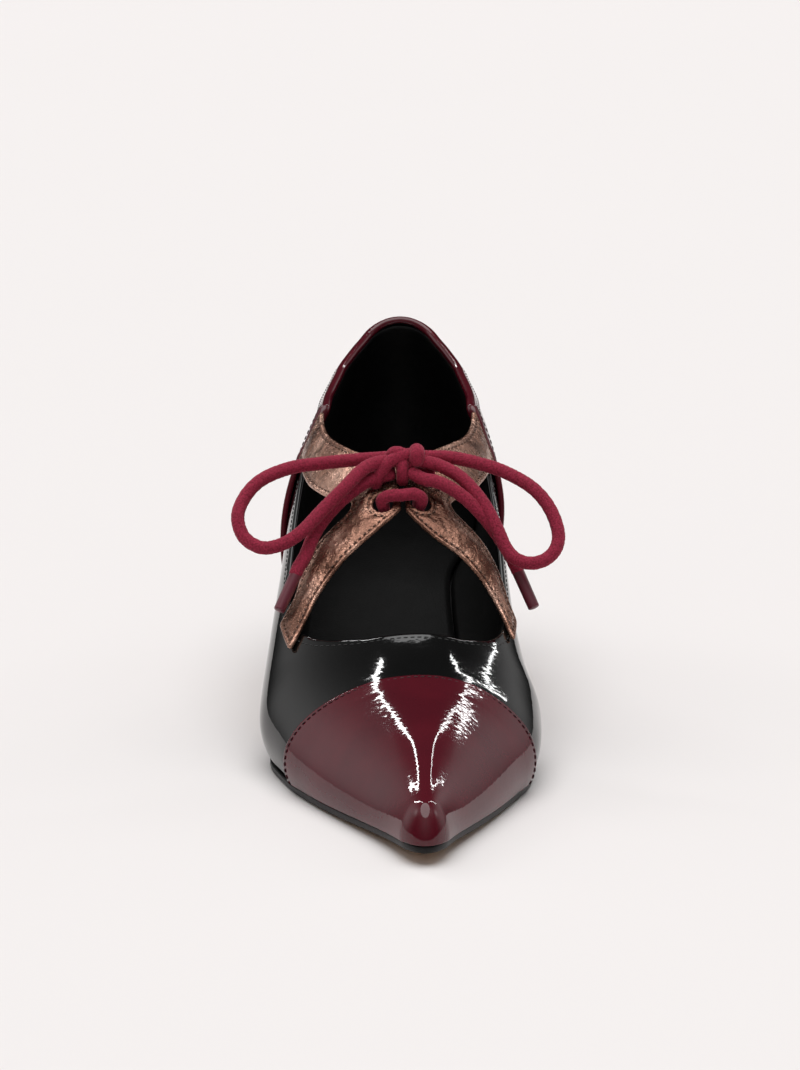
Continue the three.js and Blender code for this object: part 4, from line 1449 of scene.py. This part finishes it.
LIGHT_AIM = Vector((6, -175, 22)) * MM
LIGHT_DISTANCE = 20.0
STRIP_BRIGHTNESS = 26
SUN_WIDTH, SUN_STRENGTH = math.radians(60), 2.26


def strip_light(name, ends, width, brightness):
    """A straight strip of light between two directions."""
    start, end = (LIGHT_AIM + towards(*end) * LIGHT_DISTANCE for end in ends)
    middle = (start + end) / 2
    back = (middle - LIGHT_AIM).normalized()
    upward = (end - start).normalized()
    upward = (upward - back * upward.dot(back)).normalized()
    light = bpy.data.lights.new(name, "AREA")
    light.shape = "RECTANGLE"
    light.size, light.size_y = width, (end - start).length
    light.energy = brightness * math.pi * light.size * light.size_y
    obj = bpy.data.objects.new(name, light)
    turn = Matrix((upward.cross(back), upward, back)).transposed()
    obj.matrix_world = Matrix.Translation(middle) @ turn.to_4x4()
    scene.collection.objects.link(obj)


STRIPS = {
    "left": [(200, 53), (202.5, 46), (207, 41.5), (215.5, 37), (218, 31)],
    "right": [(157, 50), (155.5, 44), (150, 38), (142, 32.5), (138, 26)],
}
STRIP_WIDTH = {"left": 0.5, "right": 0.22}
for side, bends in STRIPS.items():
    for i in range(len(bends) - 1):
        strip_light(f"strip_{side}_{i + 1}", bends[i:i + 2], STRIP_WIDTH[side], STRIP_BRIGHTNESS)

sun = bpy.data.objects.new("overhead", bpy.data.lights.new("overhead", "SUN"))
sun.data.angle, sun.data.energy = SUN_WIDTH, SUN_STRENGTH
scene.collection.objects.link(sun)
print("lights:", ", ".join(sorted(light.name for light in bpy.data.lights)))

# %% [markdown]
# The surroundings are nearly black, with soft round patches. A patch is brightest in one
# direction, given as for the lights, and falls to half within its spread in degrees.

# %% Surroundings
world = bpy.data.worlds.new("studio")
world.use_nodes = True
nodes, links = world.node_tree.nodes, world.node_tree.links
looking = nodes.new("ShaderNodeTexCoord").outputs["Generated"]
AMBIENT = 0.01
SOFT_PATCHES = [
    (238, 27, 16, 0.72), (122, 22, 14, 0.48), (252, 36, 6, 1.4), (112, 27, 5, 1.4), (262, 54, 12, 0.5),
    (96, 52, 12, 0.5), (142, 20, 10, 0.45), (244, 8, 12, 0.45), (118, 6, 12, 0.4), (0, 60, 35, 0.5),
]
total = AMBIENT
for around, up, spread, brightness in SOFT_PATCHES:
    facing = measured(nodes, links, "DOT_PRODUCT", looking, towards(around, up))
    steep = math.log(2) / (1 - math.cos(math.radians(spread)))
    bell = reckon(nodes, links, "EXPONENT", reckon(nodes, links, "MULTIPLY_ADD", facing, steep, -steep))
    total = reckon(nodes, links, "MULTIPLY_ADD", bell, brightness, total)
links.new(total, nodes["Background"].inputs["Strength"])
nodes["Background"].inputs["Color"].default_value = (1, 0.985, 0.98, 1)
scene.world = world
print(f"surroundings: {len(SOFT_PATCHES)} soft patches")
